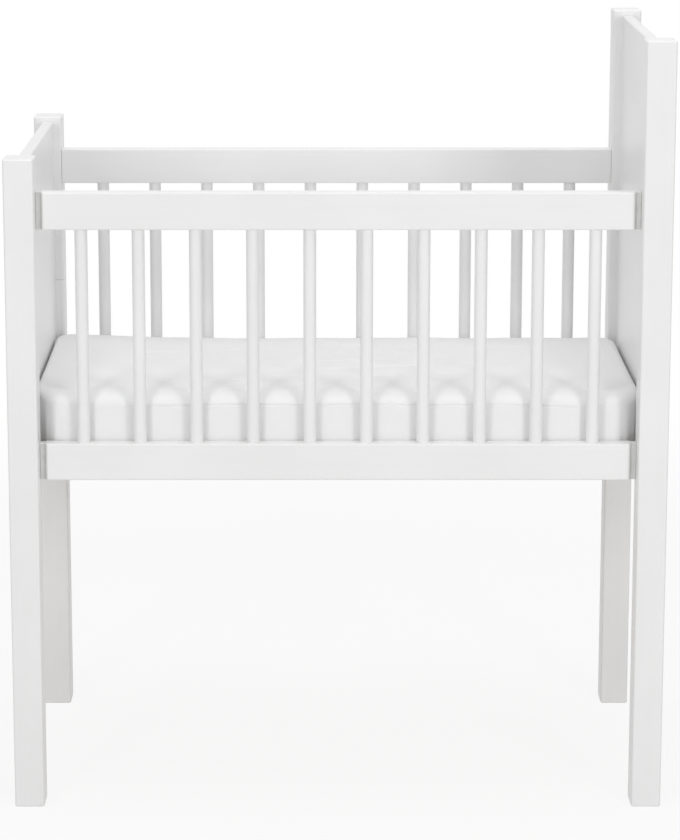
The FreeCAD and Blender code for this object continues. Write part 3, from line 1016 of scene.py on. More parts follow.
# ---------------------------------------------------------------- mattress and sheet
@dataclass
class PadForm:
    """A crowned pad with rolled edges and round corners, made of even four-sided cells."""

    low: Vector
    high: Vector
    corner_radius: float = 0.040
    side_roll: tuple[float, float] = (0.032, 0.020)
    left_roll: tuple[float, float] = (0.008, 0.008)
    right_roll: tuple[float, float] = (0.017, 0.015)
    under_roll: float = 0.009
    crown: float = 0.003
    cell: float = 0.0116
    under_reach: float = 0.070
    closed_under: bool = False
    creased: bool = False

    def __post_init__(self) -> None:
        """Works out the plan's middle and half size, and the cells along a long and a short side."""
        low, high = np.array(self.low), np.array(self.high)
        self.middle, self.half = (low + high)[:2] / 2, (high - low)[:2] / 2
        self.arc = self.corner_radius * math.pi / 2
        straight = self.half - self.corner_radius
        self.cells = tuple(round((2 * side + self.arc) / self.cell) for side in straight)

    def _rolls(self, normals: np.ndarray) -> tuple[np.ndarray, np.ndarray]:
        """How deep and how high the rolled top edge is at each point of the outline.

        Args:
            normals: The outline's outward directions.

        Returns:
            The depths and the heights.
        """
        to_end = normals[:, 0] ** 2
        right = normals[:, 0] > 0
        return tuple(
            self.side_roll[k] * (1 - to_end) + np.where(right, self.right_roll[k], self.left_roll[k]) * to_end
            for k in range(2)
        )

    def _outline(self) -> tuple[np.ndarray, np.ndarray]:
        """Even points round the widest outline, from the middle of the back left corner.

        Returns:
            The points and their outward directions.
        """
        radius, arc = self.corner_radius, self.arc
        points, normals = [], []
        for side in range(4):
            count, straight = self.cells[side % 2], self.half[side % 2] - radius
            way = (2 * straight + arc) * np.arange(count) / count - arc / 2 - straight
            along = np.clip(way, -straight, straight)
            angle = math.pi / 2 - (way - along) / radius
            normal = np.column_stack([np.cos(angle), np.sin(angle)])
            spot = radius * normal + np.column_stack([along, np.full(count, self.half[1 - side % 2] - radius)])
            c, s = math.cos(-math.pi / 2 * side), math.sin(-math.pi / 2 * side)
            turn = np.array([[c, s], [-s, c]])
            points.append(spot @ turn)
            normals.append(normal @ turn)
        return np.vstack(points) + self.middle, np.vstack(normals)

    def _levels(self, normals: np.ndarray) -> list[tuple[np.ndarray, np.ndarray]]:
        """The insets and heights of each ring, from the top edge round the side to the underside.

        Args:
            normals: The outline's outward directions.

        Returns:
            The insets and heights, one pair for each ring.
        """
        deep, tall = self._rolls(normals)
        base, top, under = self.low.z, self.high.z - self.crown, self.under_roll
        none = 0 * deep
        turns, falls = [k / 6 for k in range(1, 7)], [k / 4 for k in range(1, 4)]
        if self.creased:
            turns = [k / 6 for k in range(1, 4)] + [0.5 + k / 12 for k in range(1, 7)]
            falls = [1 / 12, 1 / 6, 1 / 4, 1 / 2, 3 / 4]
        angles = [math.pi / 2 * turn for turn in turns]
        levels = [(deep * (1 - math.sin(a)), top - tall * (1 - math.cos(a))) for a in angles]
        levels += [(none, top - tall - (top - tall - base - under) * fall) for fall in falls]
        for angle in (math.pi / 2 * k / 3 for k in range(4)):
            levels.append((none + under * (1 - math.cos(angle)), none + base + under * (1 - math.sin(angle))))
        flat = self.under_reach - under
        return levels + [(none + under + flat * k / 4, none + base) for k in range(1, 5)]

    def _fill(self, numbers: Sequence[int], points: list[Triple], turned: bool = False) -> list[tuple[int, ...]]:
        """Fills a level ring of points with cells that keep to it.

        Args:
            numbers: The numbers of the ring's points.
            points: All the points so far, which the cells' own are added to.
            turned: Whether the cells look down.

        Returns:
            The cells.
        """
        long, short = self.cells
        rim = [(short, k) for k in range(long)] + [(short - k, long) for k in range(short)]
        rim += [(0, long - k) for k in range(long)] + [(k, 0) for k in range(short)]
        grid, index = np.zeros((short + 1, long + 1, 2)), np.full((short + 1, long + 1), -1)
        for at, number in zip(rim, numbers):
            grid[at], index[at] = points[number][:2], number
        v = np.linspace(0, 1, short + 1)[:, None, None]
        u = np.linspace(0, 1, long + 1)[None, :, None]
        corners = (
            (1 - u) * (1 - v) * grid[0, 0] + u * (1 - v) * grid[0, -1]
            + (1 - u) * v * grid[-1, 0] + u * v * grid[-1, -1]
        )
        across, along = (1 - v) * grid[:1] + v * grid[-1:], (1 - u) * grid[:, :1] + u * grid[:, -1:]
        grid[1:-1, 1:-1] = (across + along - corners)[1:-1, 1:-1]
        for _ in range(150):
            around = grid[2:, 1:-1] + grid[:-2, 1:-1] + grid[1:-1, 2:] + grid[1:-1, :-2]
            grid[1:-1, 1:-1] = around / 4
        height = points[numbers[0]][2]
        for at in zip(*np.nonzero(index < 0)):
            index[at] = len(points)
            points.append((*grid[at], height))
        first, second = ((1, 0), (0, 1)) if turned else ((0, 1), (1, 0))
        around = ((0, 0), first, (1, 1), second)
        return [
            tuple(index[j + down, i + over] for down, over in around) for j in range(short) for i in range(long)
        ]

    def mesh(self, name: str) -> bpy.types.Mesh:
        """Makes the pad's mesh.

        Args:
            name: The mesh's name.

        Returns:
            The mesh, closed or with a round opening underneath.
        """
        outline, normals = self._outline()
        top, most = self.high.z - self.crown, self.corner_radius * 0.85
        inner = outline - normals * self._rolls(normals)[0][:, None]
        points = [(*p, top) for p in inner]
        last = range(len(points))
        faces = self._fill(last, points)
        for inset, height in self._levels(normals):
            ring = outline - normals * np.minimum(inset, most)[:, None]
            if inset.min() > most:
                middle, half = (ring.max(0) + ring.min(0)) / 2, (ring.max(0) - ring.min(0)) / 2
                ring = middle + (ring - middle) * (half - (inset.min() - most)) / half
            fresh = range(len(points), len(points) + len(ring))
            points += [(*p, z) for p, z in zip(ring, height)]
            faces += band(last, fresh)
            last = fresh
        if self.closed_under:
            faces += self._fill(last, points, turned=True)
        placed = np.array(points)
        placed[:, 2] += self._crown_at(placed) * (placed[:, 2] > top - 1e-6)
        mesh = mesh_of(name, placed, faces)
        outward(mesh)
        return mesh

    def _crown_at(self, points: np.ndarray) -> np.ndarray:
        """Works out the crown.

        Args:
            points: The pad's points, one row each.

        Returns:
            How far the crown lifts the top at each point.
        """
        flat = self.half - np.array([self.right_roll[0], self.side_roll[0]])
        across, deep = np.clip(np.abs(points[:, :2] - self.middle) / flat, 0, 1).T
        return self.crown * (1 - across**4) * (1 - deep**4)


@dataclass(frozen=True)
class Upholstering:
    """A cloth run that swells a pad against its cover."""

    pressure: float = 4.0
    frames: int = 20
    most: float = 0.0014
    stiffness: float = 15.0
    bending: float = 5.0
    smoothing: int = 12

    def settle(self, piece: bpy.types.Object) -> None:
        """Runs the cloth and keeps its capped result in the piece's mesh.

        Args:
            piece: The pad, before its final subdivision.
        """
        before = at_points(piece.data)
        modifier = piece.modifiers.new("cloth", "CLOTH")
        cloth = modifier.settings
        cloth.quality = 5
        cloth.mass = 0.3
        cloth.tension_stiffness = cloth.compression_stiffness = self.stiffness
        cloth.shear_stiffness = self.stiffness / 3
        cloth.bending_stiffness = self.bending
        cloth.use_pressure = True
        cloth.uniform_pressure_force = self.pressure
        cloth.effector_weights.gravity = 0.0
        modifier.collision_settings.use_collision = False
        for step in range(1, self.frames + 1):
            bpy.context.scene.frame_set(step)
        swollen = baked(piece)
        moved = at_points(swollen) - before
        bpy.data.meshes.remove(swollen)
        piece.modifiers.remove(modifier)
        bpy.context.scene.frame_set(1)
        ends = np.empty(len(piece.data.edges) * 2, int)
        piece.data.edges.foreach_get("vertices", ends)
        first, second = ends.reshape(-1, 2).T
        beside = np.bincount(ends, minlength=len(moved))[:, None]
        for _ in range(self.smoothing):
            total = np.zeros_like(moved)
            np.add.at(total, first, moved[second])
            np.add.at(total, second, moved[first])
            moved = (moved + total) / (1 + beside)
        length = np.linalg.norm(moved, axis=1, keepdims=True)
        moved *= self.most * np.tanh(length / self.most) / np.maximum(length, 1e-9)
        put_places(piece.data, before + moved)
        LOG.info("%s: swelled by up to %.1f mm", piece.name, 1000 * float(length.max()))


@dataclass(frozen=True)
class Fold:
    """One soft fold of the sheet's top."""

    x: float
    y: float
    length: float
    angle: float
    width: float
    height: float
    bend: float

    def heights(self, points: np.ndarray) -> np.ndarray:
        """How far the fold lifts each point.

        Args:
            points: The points, one row each.

        Returns:
            The lift of each one.
        """
        c, s = math.cos(self.angle), math.sin(self.angle)
        along = (points[:, 0] - self.x) * c + (points[:, 1] - self.y) * s
        across = (points[:, 1] - self.y) * c - (points[:, 0] - self.x) * s - self.bend * along**2
        t = across / self.width
        ridge = np.exp(-(t**2)) - 0.55 * np.exp(-((t - 1.5) ** 2)) - 0.3 * np.exp(-((t + 1.6) ** 2))
        return self.height * ridge * np.exp(-2.0 * (along / self.length) ** 2)


@dataclass
class SheetShaping:
    """The folds, crease and gathers of the fitted sheet."""

    low: Vector
    high: Vector
    crease_height: float = 0.551
    crease_ends: tuple[float, float] = (-0.23, 0.27)
    crease_depth: float = 0.0011
    crease_half_width: float = 0.0013
    fold_count: int = 70
    corner_lift: float = 0.005
    corner_radius: float = 0.040
    gather_pitch: float = 0.014
    gather_depth: float = 0.0007
    seed: int = 7

    def folds(self) -> list[Fold]:
        """Long shallow folds that rise a little towards the back right."""
        draw = np.random.default_rng(self.seed)
        made = []
        for _ in range(self.fold_count):
            length = draw.uniform(0.05, 0.14)
            made.append(
                Fold(
                    x=draw.normal(0.02, 0.13),
                    y=draw.uniform(self.low.y + 0.04, self.high.y - 0.03),
                    length=length,
                    angle=math.radians(draw.normal(9.0, 6.0)),
                    width=draw.uniform(0.0030, 0.0048),
                    height=draw.uniform(0.0003, 0.0008),
                    bend=draw.normal(0.0, 0.3),
                )
            )
        return made

    def lie(self, points: np.ndarray, normals: np.ndarray) -> np.ndarray:
        """The low waves of the top and its raised back corner, which the pad below shares.

        Args:
            points: A piece's points, one row each.
            normals: The way that each one looks.

        Returns:
            The new points.
        """
        x, y, z = points.T
        up = np.clip(normals[:, 2], 0, 1) ** 2
        moved = points.copy()
        sway = 0.0006 * np.sin(x * 17.0 + 0.7) * np.sin(y * 12.0 + 0.4) + 0.0003 * np.sin(x * 41.0 + y * 19.0)
        left = np.clip((-0.17 - x) / 0.21, 0, 1) ** 1.6
        back = np.clip((y + 0.08) / 0.25, 0, 1)
        rising = np.clip((z - self.low.z) / (self.high.z - self.low.z), 0, 1) ** 2
        moved[:, 2] += sway * up + self.corner_lift * left * (0.2 + 0.8 * back) * rising
        return moved

    def shape(self, points: np.ndarray, normals: np.ndarray) -> np.ndarray:
        """Sculpts the sheet.

        Args:
            points: Its points, one row each.
            normals: The way that each one looks.

        Returns:
            The new points.
        """
        x = points[:, 0]
        up = np.clip(normals[:, 2], 0, 1) ** 2
        lift = sum(fold.heights(points) for fold in self.folds())
        inside = np.clip((x - self.low.x) / 0.06, 0, 1) * np.clip((self.high.x - x) / 0.06, 0, 1)
        moved = self.lie(points, normals)
        moved[:, 2] += lift * up * inside
        moved += normals * (self._crease(points, normals) + self._gathers(points, normals))[:, None]
        return moved

    def _crease(self, points: np.ndarray, normals: np.ndarray) -> np.ndarray:
        """The sharp crease along the front and back, below the rounded edge.

        Args:
            points: The sheet's points, one row each.
            normals: The way that each one looks.

        Returns:
            How far each point moves outwards.
        """
        x, _, z = points.T
        first, last = self.crease_ends
        beyond = np.maximum(np.maximum(first - x, x - last), 0)
        droop = 0.015 * np.clip(np.maximum(first + 0.06 - x, x - last + 0.06), 0, 1) + 0.7 * beyond**2
        height = self.crease_height - droop + 0.0004 * np.sin(x * 37.0)
        there = np.exp(-((beyond / 0.05) ** 2)) * (np.abs(normals[:, 1]) > 0.3)
        t = (z - height) / self.crease_half_width
        step = 0.35 * np.tanh(t) * np.exp(-((z - height) / 0.012) ** 2)
        return self.crease_depth * there * (step - np.exp(-(t**2)))

    def _gathers(self, points: np.ndarray, normals: np.ndarray) -> np.ndarray:
        """Small upright pleats that the elastic draws at the round corners.

        Args:
            points: The sheet's points, one row each.
            normals: The way that each one looks.

        Returns:
            How far each point moves outwards.
        """
        middle_x = (self.low.x + self.high.x) / 2
        span_x = (self.high.x - self.low.x) / 2 - self.corner_radius
        span_y = (self.high.y - self.low.y) / 2 - self.corner_radius
        over_x = np.clip(np.abs(points[:, 0] - middle_x) - span_x, 0, None)
        over_y = np.clip(np.abs(points[:, 1]) - span_y, 0, None)
        round_corner = np.clip(np.minimum(over_x, over_y) / 0.008, 0, 1)
        turn = 2 * math.pi * np.arctan2(over_y, over_x) * self.corner_radius / self.gather_pitch
        side = np.sign(points[:, 0] - middle_x) * 2.1 + np.sign(points[:, 1]) * 0.9
        wave = np.sin(turn + side) + 0.5 * np.sin(turn * 1.73 + 3 * side)
        fading = np.clip((self.crease_height + 0.008 - points[:, 2]) / 0.06, 0, 1)
        return self.gather_depth * wave * round_corner * fading * (np.abs(normals[:, 2]) < 0.9)


@dataclass
class Bedding:
    """The mattress, its fitted sheet, and the sheet's gathered hem and sewing."""

    effects: Effects
    fittings: Fittings
    start_inset: float = 0.0007
    end_swell: tuple[float, float] = (0.0019, 0.0078)
    hem_width: float = 0.009
    hem_thickness: float = 0.0016
    stitch_pitch: float = 0.0032

    def build(self) -> None:
        """Makes the mattress, the sheet, its hem and its stitches."""
        cotton = WovenCotton().material(self.effects)
        pad = self._mattress()
        sheet, opening, outwards = self._sheet(cotton)
        hem = self._hem(opening, outwards, cotton)
        stitches = self._stitches(opening, outwards)
        for piece in (hem, stitches):
            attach(piece, Body.MATTRESS.value)

    def _room(self, node: str) -> tuple[Vector, Vector, Vector]:
        """The space of a soft solid, with its ends swelled out to the end panels.

        Args:
            node: The solid's name.

        Returns:
            The space's low and high corners, and how far inside them the piece starts.
        """
        low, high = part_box(node)
        swollen = low - Vector((self.end_swell[0], 0, 0)), high + Vector((self.end_swell[1], 0, 0))
        return *swollen, Vector([self.start_inset] * 3)

    @staticmethod
    def _fitted(points: np.ndarray, low: Vector, high: Vector, over: float = 0.0) -> np.ndarray:
        """Keeps points in the space that the solid holds.

        Args:
            points: The points, one row each.
            low: The space's low corner.
            high: Its high corner.
            over: How far they may stand above it.

        Returns:
            The points, eased back to it.
        """
        room = np.array([low, high])
        room[1, 2] += over
        return np.clip(points, room[0], room[1])

    @staticmethod
    def _kept(piece: bpy.types.Object, node: str, slot: Slot) -> None:
        """Puts a soft piece on the mattress's body and hides the solid that it stands for.

        Args:
            piece: The piece.
            node: The solid's name.
            slot: The piece's slot in the record; not used.
        """
        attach(piece, Body.MATTRESS.value)
        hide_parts(node)
        LOG.info("%s: %d faces", piece.name, len(piece.data.polygons))

    def _mattress(self) -> bpy.types.Object:
        """Makes the foam pad in its quilted ticking.

        Returns:
            The piece.
        """
        # The ticking's colour, and the painted shade that darkens the weave's hollows.
        light, weave_shade = (0.80, 0.80, 0.78, 1.0), (0.70, 0.70, 0.67, 1.0)
        ticking = WovenCotton("mattress_ticking", light, weave_shade, 1500.0, 0.00009, 0.05)
        low, high, inset = self._room("mattress_core")
        form = PadForm(
            low + inset,
            high - inset,
            corner_radius=0.0385,
            side_roll=(0.0315, 0.0190),
            left_roll=(0.0075, 0.0075),
            right_roll=(0.0165, 0.0145),
            under_roll=0.0085,
            cell=0.0095,
            closed_under=True,
        )
        name = "mattress_ticking_cover"
        pad = new_piece(name, form.mesh(name), ticking.material(self.effects))
        Upholstering().settle(pad)
        subdivided(pad, 1)
        points, normals = at_points(pad.data), at_points(pad.data, "normal")
        points = SheetShaping(low, high).lie(self._fitted(points, low, high), normals)
        x, y = points[:, 0], points[:, 1]
        quilting = np.abs(np.sin((x + y) * 34.0)) ** 0.35 * np.abs(np.sin((x - y) * 34.0)) ** 0.35
        flat = np.clip(-normals[:, 2] * 3 - 2, 0, 1) * np.clip((0.16 - np.abs(y)) / 0.01, 0, 1)
        points[:, 2] += 0.0022 * (1 - quilting) * flat
        put_places(pad.data, points)
        self._kept(pad, "mattress_core", Slot.TICKING)
        return pad

    def _sheet(self, cotton: bpy.types.Material) -> tuple[bpy.types.Object, np.ndarray, np.ndarray]:
        """Makes the fitted sheet.

        Args:
            cotton: Its finish.

        Returns:
            The piece, the edge of its opening underneath, and that edge's outward directions.
        """
        low, high, inset = self._room("fitted_sheet")
        shaping = SheetShaping(low, high)
        form = PadForm(low + inset, high - inset, shaping.corner_radius, creased=True)
        name = "cotton_fitted_sheet"
        sheet = new_piece(name, form.mesh(name), cotton)
        Upholstering().settle(sheet)
        subdivided(sheet, 2)
        points, normals = at_points(sheet.data), at_points(sheet.data, "normal")
        points = shaping.shape(self._fitted(points, low, high), normals)
        put_places(sheet.data, self._fitted(points, low, high, shaping.corner_lift))
        self._kept(sheet, "fitted_sheet", Slot.SHEET)
        return sheet, *open_edge(sheet.data)

    def _hem(self, opening: np.ndarray, outwards: np.ndarray, cotton: bpy.types.Material) -> bpy.types.Object:
        """Makes the gathered elastic hem round the opening.

        Args:
            opening: The opening's edge, one row for each point.
            outwards: The way from the opening at each point.
            cotton: Its finish.

        Returns:
            The piece.
        """
        steps, around, gathers = 1400, 12, 210
        spots, ways, length = evened(opening, outwards, steps)
        at = np.arange(steps) * length / steps
        puff = 0.5 + 0.5 * np.sin(2 * math.pi * at / (length / gathers)) * np.sin(at * 31.0 + 1.0)
        sway = 0.0012 * np.sin(2 * math.pi * at / (length / 137) + 0.5)
        angles = 2 * math.pi * np.arange(around) / around
        out = np.outer(self.hem_width / 2 * (0.9 + 0.12 * puff), np.cos(angles)) + sway[:, None]
        rise = np.outer(self.hem_thickness / 2 * (0.55 + 0.45 * puff), np.sin(angles)) + self.hem_thickness / 2
        plan = spots[:, None] + ways[:, None] * out[:, :, None]
        points = np.dstack([plan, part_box("fitted_sheet")[0].z + rise]).reshape(-1, 3)
        rings = [range(i * around, (i + 1) * around) for i in range(steps)]
        faces = [cell for i in range(steps) for cell in band(rings[i], rings[(i + 1) % steps])]
        mesh = mesh_of("fitted_sheet_hem", points, faces)
        outward(mesh)
        LOG.info("fitted_sheet_hem: %.2f m round", length)
        return new_piece("fitted_sheet_hem", mesh, cotton)

    def _stitches(self, opening: np.ndarray, outwards: np.ndarray) -> bpy.types.Object:
        """Sews two rows of stitches along the hem.

        Args:
            opening: The opening's edge, one row for each point.
            outwards: The way from the opening at each point.

        Returns:
            The piece.
        """
        # The thread's colour, and the painted shade that darkens its weave's hollows.
        light, weave_shade = (0.84, 0.84, 0.84, 1.0), (0.72, 0.72, 0.72, 1.0)
        thread = WovenCotton("sewing_thread", light, weave_shade, 5200.0, 0.00003)
        count = 900
        spots, ways, _ = evened(opening, outwards, count)
        level = np.full(count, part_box("fitted_sheet")[0].z + 0.0001)
        rows = [np.column_stack([spots + ways * self.hem_width * share, level]) for share in (0.5, 0.72)]
        edges = [(r * count + k, r * count + (k + 1) % count) for r in range(2) for k in range(count)]
        mesh = bpy.data.meshes.new("hem_stitches")
        mesh.from_pydata([tuple(p) for p in np.vstack(rows)], edges, [])
        sizes = {"Pitch": self.stitch_pitch}
        return self.fittings.grow(
            self.fittings.stitch_row, mesh, "hem_stitches", thread.material(self.effects), sizes
        )


# ---------------------------------------------------------------- wooden parts
@dataclass
class Woodwork:
    """The painted ends and sides, and the bare slatted base."""

    effects: Effects
    fittings: Fittings
    spindles: int = 10

    def dress(self, node: str, material: bpy.types.Material, slot: Slot) -> None:
        """Gives a carried-over node its finish.

        Args:
            node: The node's name.
            material: Its finish.
            slot: Its slot in the record; not used.
        """
        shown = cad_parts[node]
        if not shown.material_slots:
            shown.data.materials.append(material)
        for place in shown.material_slots:
            place.material = material

    def paint(self) -> bpy.types.Material:
        """Paints the posts, panels, rails and spindles.

        Returns:
            The spindles' paint, which the beads round them share.
        """
        finish, jointed = PaintedWood(), PaintedWood(joint_height=0.650)
        for node in (e + "_end_" + p for e in ("low", "high") for p in ("front_post", "back_post", "panel")):
            used = jointed if node == "low_end_back_post" else finish
            self.dress(node, used.material(self.effects, node, Grain.ALONG_Z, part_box(node)), Slot.PAINT)
        for node in (s + "_" + r + "_rail" for s in ("front", "back") for r in ("top", "bottom")):
            self.dress(node, finish.material(self.effects, node, Grain.ALONG_X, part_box(node)), Slot.PAINT)
        round_paint = finish.material(self.effects, "spindles", Grain.ALONG_Z)
        for side in ("front", "back"):
            for k in range(1, self.spindles + 1):
                self.dress("%s_spindle_%02d" % (side, k), round_paint, Slot.PAINT)
        LOG.info("painted the ends, the sides and %d spindles", 2 * self.spindles)
        return round_paint

    def repeated(
        self,
        tree: NodeTree,
        name: str,
        looks: Sequence[tuple[Triple, Triple]],
        finish: tuple[bpy.types.Material, Slot],
        body: Body,
        sizes: dict[str, float] | None = None,
    ) -> bpy.types.Object:
        """Repeats a small form.

        Args:
            tree: The form's geometry tree.
            name: The new piece's name.
            looks: The place of each one and the way that it looks.
            finish: Their material and its slot in the record.
            body: What they ride on.
            sizes: The values of the tree's named inputs.

        Returns:
            The new piece.
        """
        places, facings = zip(*looks)
        piece = self.fittings.grow(tree, facing_points(name, places, facings), name, finish[0], sizes)
        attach(piece, body.value)
        LOG.info("%s: %d of them", name, len(looks))
        return piece

    def collars(self, paint: bpy.types.Material) -> None:
        """Beads of paint where the spindles enter the rails.

        Args:
            paint: The spindles' paint.
        """
        for side, body in (("front", Body.FRONT), ("back", Body.FRAME)):
            ends = ((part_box(side + "_bottom_rail")[1].z, 1.0), (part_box(side + "_top_rail")[0].z, -1.0))
            looks = []
            for k in range(1, self.spindles + 1):
                low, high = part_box("%s_spindle_%02d" % (side, k))
                x, y = (low.x + high.x) / 2, (low.y + high.y) / 2
                looks += [((x, y, level), (0.0, 0.0, way)) for level, way in ends]
            name = side + "_spindle_paint_beads"
            self.repeated(self.fittings.paint_collars, name, looks, (paint, Slot.PAINT), body)

    def base(self, steel: tuple[bpy.types.Material, Slot]) -> None:
        """Makes the slats with their screws, and dresses the cleats and bearers.

        Args:
            steel: The screws' finish.
        """
        finish = BareWood()
        across = finish.material(self.effects, "slats", Grain.ALONG_Y)
        along = finish.material(self.effects, "bearers", Grain.ALONG_X)
        for node in ("low_end_cleat", "high_end_cleat", "front_bearer", "back_bearer"):
            self.dress(node, across if node.endswith("cleat") else along, Slot.WOOD)
        nodes = ["base_slat_%d" % k for k in range(1, 10)]
        boxes = [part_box(node) for node in nodes]
        middles = [tuple((low + high) / 2) for low, high in boxes]
        size, up = boxes[0][1] - boxes[0][0], (0.0, 0.0, 1.0)
        from_middle = sum(corner.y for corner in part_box("back_bearer")) / 2
        sizes = {"Width": size.x, "Thickness": size.z, "Length": size.y, "Screw From Middle": from_middle}
        looks = [(middle, up) for middle in middles]
        slats = self.repeated(
            self.fittings.slat_row, "base_slats", looks, (across, Slot.WOOD), Body.FRAME, sizes
        )
        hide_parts(*nodes)
        level = boxes[0][1].z - 0.0002
        looks = [((x, turn * from_middle, level), up) for x, _, _ in middles for turn in (-1, 1)]
        self.repeated(self.fittings.countersunk_screws, "base_slat_screws", looks, steel, Body.FRAME)

    def hardware(self, steel: tuple[bpy.types.Material, Slot]) -> None:
        """Dresses the studs, screws and hanger plates.

        Args:
            steel: The metal's finish.
        """
        for node in ("hanger_studs", "back_rail_screws"):
            self.dress(node, *steel)
        plastic = WhitePlastic().material()
        proud = 0.0001
        on_plates, on_cleats = [], []
        for end, way in (("low", -1.0), ("high", 1.0)):
            facing = (way, 0.0, 0.0)
            for node in ("hanger_plate_%s_%s" % (end, level) for level in ("bottom", "top")):
                self.dress(node, plastic, Slot.PLASTIC)
                low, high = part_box(node)
                outer = high.x if way > 0 else low.x
                for up in (0.029, 0.041):
                    on_plates.append(((outer + way * proud, (low.y + high.y) / 2, low.z + up), facing))
            low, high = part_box(end + "_end_cleat")
            inner = low.x if way > 0 else high.x
            for along in (-0.13, 0.0, 0.13):
                on_cleats.append(((inner - way * proud, along, (low.z + high.z) / 2), (-way, 0.0, 0.0)))
        screws = self.fittings.countersunk_screws
        self.repeated(screws, "hanger_plate_screws", on_plates, steel, Body.FRONT)
        self.repeated(screws, "cleat_screws", on_cleats, steel, Body.FRAME)


# ---------------------------------------------------------------- studio
@dataclass(frozen=True)
class Lamp:
    """One soft box of the studio, with its angles in degrees."""

    name: str
    azimuth: float
    elevation: float
    distance: float
    width: float
    height: float
    power: float


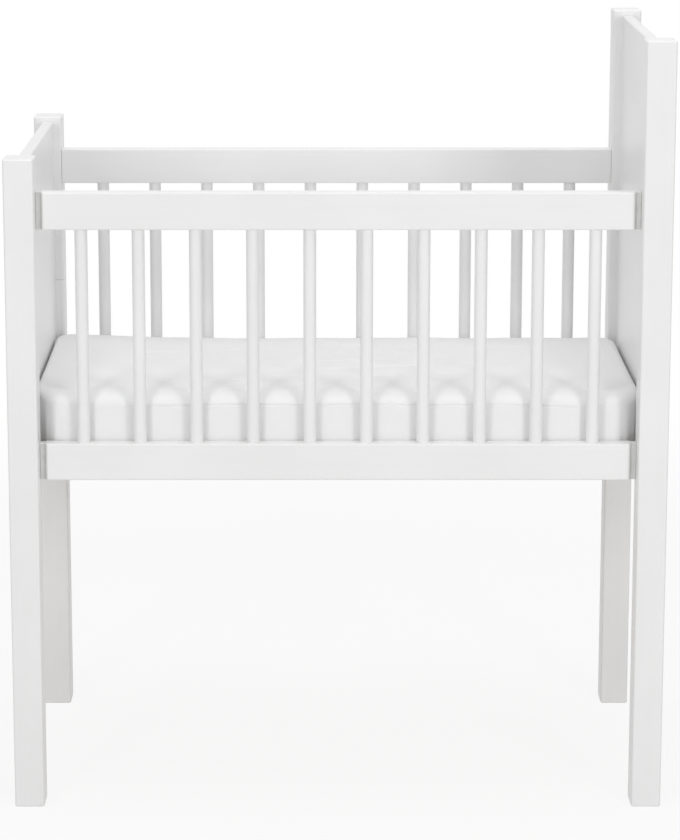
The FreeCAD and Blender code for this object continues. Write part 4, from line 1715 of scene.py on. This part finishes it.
@dataclass
class Studio:
    """A plain pale floor under soft light, and the camera."""

    floor_radius: float = 9.0
    floor_level: float = -0.0002
    floor_colour: Colour = (0.80, 0.80, 0.80, 1.0)
    floor_white: float = 0.86
    floor_glow: float = 1.0
    floor_fade: tuple[float, float] = (1.0, 2.6)
    ambient: float = 0.49
    aim: Triple = (0.0, -0.1, 0.6)
    lamps: tuple[Lamp, ...] = (
        Lamp("left_soft_box", -27.0, 14.0, 3.2, 0.65, 1.2, 19.0),
        Lamp("right_soft_box", 31.0, 14.0, 3.2, 0.65, 1.2, 21.0),
        Lamp("overhead_soft_box", 0.0, 88.0, 3.0, 2.4, 2.4, 39.0),
    )
    camera_place: Triple = (-0.0276, -4.100, 1.4310)
    camera_pitch: float = 11.217
    camera_lens: float = 127.527
    camera_shift: tuple[float, float] = (0.02679, -0.11)

    def build(self) -> None:
        """Makes the floor, the surroundings, the lamps and the camera."""
        self._floor()
        self._surroundings()
        for lamp in self.lamps:
            self._lamp(lamp)
        self._camera()
        bpy.context.scene.view_settings.view_transform = "Standard"

    @staticmethod
    def _seen(wiring: Wiring) -> NodeSocket:
        """Tells the rays by which the eye sees the studio: directly, in gloss or through glass.

        Args:
            wiring: The wiring of the floor's or the world's tree.

        Returns:
            The socket of a value that is 1 for such rays.
        """
        path = wiring.node("ShaderNodeLightPath").outputs
        direct = wiring.maths("MAXIMUM", path["Is Camera Ray"], path["Is Glossy Ray"])
        return wiring.maths("MAXIMUM", direct, path["Is Transmission Ray"])

    @staticmethod
    def _hang(data: bpy.types.ID) -> bpy.types.Object:
        """Puts a lamp or camera in the scene.

        Args:
            data: Its data.

        Returns:
            Its object.
        """
        shown = bpy.data.objects.new(data.name, data)
        bpy.context.scene.collection.objects.link(shown)
        return shown

    def _floor(self) -> None:
        """A wide round floor, white to the camera but for the crib's shadow."""
        steps = 96
        around = [2 * math.pi * k / steps for k in range(steps)]
        rim = [(self.floor_radius * math.cos(a), self.floor_radius * math.sin(a), self.floor_level) for a in around]
        faces = [(0, 1 + k, 1 + (k + 1) % steps) for k in range(steps)]
        coat = Coat("studio_floor")
        tone = coat.ease(coat.noise(coat.place, 3.0, 3.0), 0.3, 0.7)
        pale = tuple(c * 1.01 for c in self.floor_colour[:3]) + (1.0,)
        coat.finished(
            {
                "Base Color": coat.blend(tone, self.floor_colour, pale),
                "Roughness": coat.maths("MULTIPLY_ADD", tone, 0.05, 0.85),
                "Specular IOR Level": 0.1,
            }
        )
        far = coat.node("ShaderNodeVectorMath", {0: coat.place}, operation="LENGTH").outputs["Value"]
        away = coat.ease(far, *self.floor_fade, self.floor_white, 1.0)
        glow = coat.made("ShaderNodeEmission", {"Color": (1.0, 1.0, 1.0, 1.0), "Strength": self.floor_glow})
        share = coat.maths("MULTIPLY", self._seen(coat), away)
        both = coat.made("ShaderNodeMixShader", {0: share, 1: coat.shader.outputs[0], 2: glow})
        output = next(n for n in coat.tree.nodes if n.bl_idname == "ShaderNodeOutputMaterial")
        coat.feed(output.inputs["Surface"], both)
        mesh = mesh_of("studio_floor", [(0.0, 0.0, self.floor_level), *rim], faces, False)
        new_piece("studio_floor", mesh, coat.material)

    def _surroundings(self) -> None:
        """Even soft light from all round, white where it is seen."""
        world = bpy.data.worlds.new("pale_studio")
        bpy.context.scene.world = world
        world.use_nodes = True
        world.node_tree.nodes.clear()
        wiring = Wiring(world.node_tree)
        strength = wiring.maths("MULTIPLY_ADD", self._seen(wiring), 1.0 - self.ambient, self.ambient)
        sky = wiring.made("ShaderNodeBackground", {"Color": (1.0, 1.0, 1.0, 1.0), "Strength": strength})
        wiring.node("ShaderNodeOutputWorld", {"Surface": sky})

    def _lamp(self, lamp: Lamp) -> None:
        """Hangs a soft box.

        Args:
            lamp: Its place, size and power.
        """
        data = bpy.data.lights.new(lamp.name, "AREA")
        data.shape = "RECTANGLE"
        data.size, data.size_y = lamp.width, lamp.height
        data.energy = lamp.power
        box = self._hang(data)
        a, e = math.radians(lamp.azimuth), math.radians(lamp.elevation)
        back = Vector((math.sin(a) * math.cos(e), -math.cos(a) * math.cos(e), math.sin(e)))
        box.location = Vector(self.aim) + back * lamp.distance
        box.rotation_euler = (-back).to_track_quat("-Z", "Y").to_euler()

    def _camera(self) -> None:
        """Sets the camera at the photograph's place and angle."""
        data = bpy.data.cameras.new("camera")
        data.sensor_width = 36.0
        data.lens = self.camera_lens
        data.shift_x, data.shift_y = self.camera_shift
        data.clip_start, data.clip_end = 0.05, 100.0
        camera = self._hang(data)
        camera.location = self.camera_place
        camera.rotation_euler = (math.radians(90.0 - self.camera_pitch), 0.0, 0.0)
        bpy.context.scene.camera = camera


def main() -> None:
    """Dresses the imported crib, makes its soft and small pieces, and sets up the studio."""
    logging.basicConfig(level=logging.INFO, format="%(name)s %(message)s")
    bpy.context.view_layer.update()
    Studio().build()
    effects, fittings = Effects(), Fittings()
    steel = ZincSteel().material(), Slot.STEEL
    woodwork = Woodwork(effects, fittings)
    woodwork.collars(woodwork.paint())
    woodwork.base(steel)
    woodwork.hardware(steel)
    Bedding(effects, fittings).build()
    bpy.context.view_layer.update()


if __name__ == "__main__":
    main()
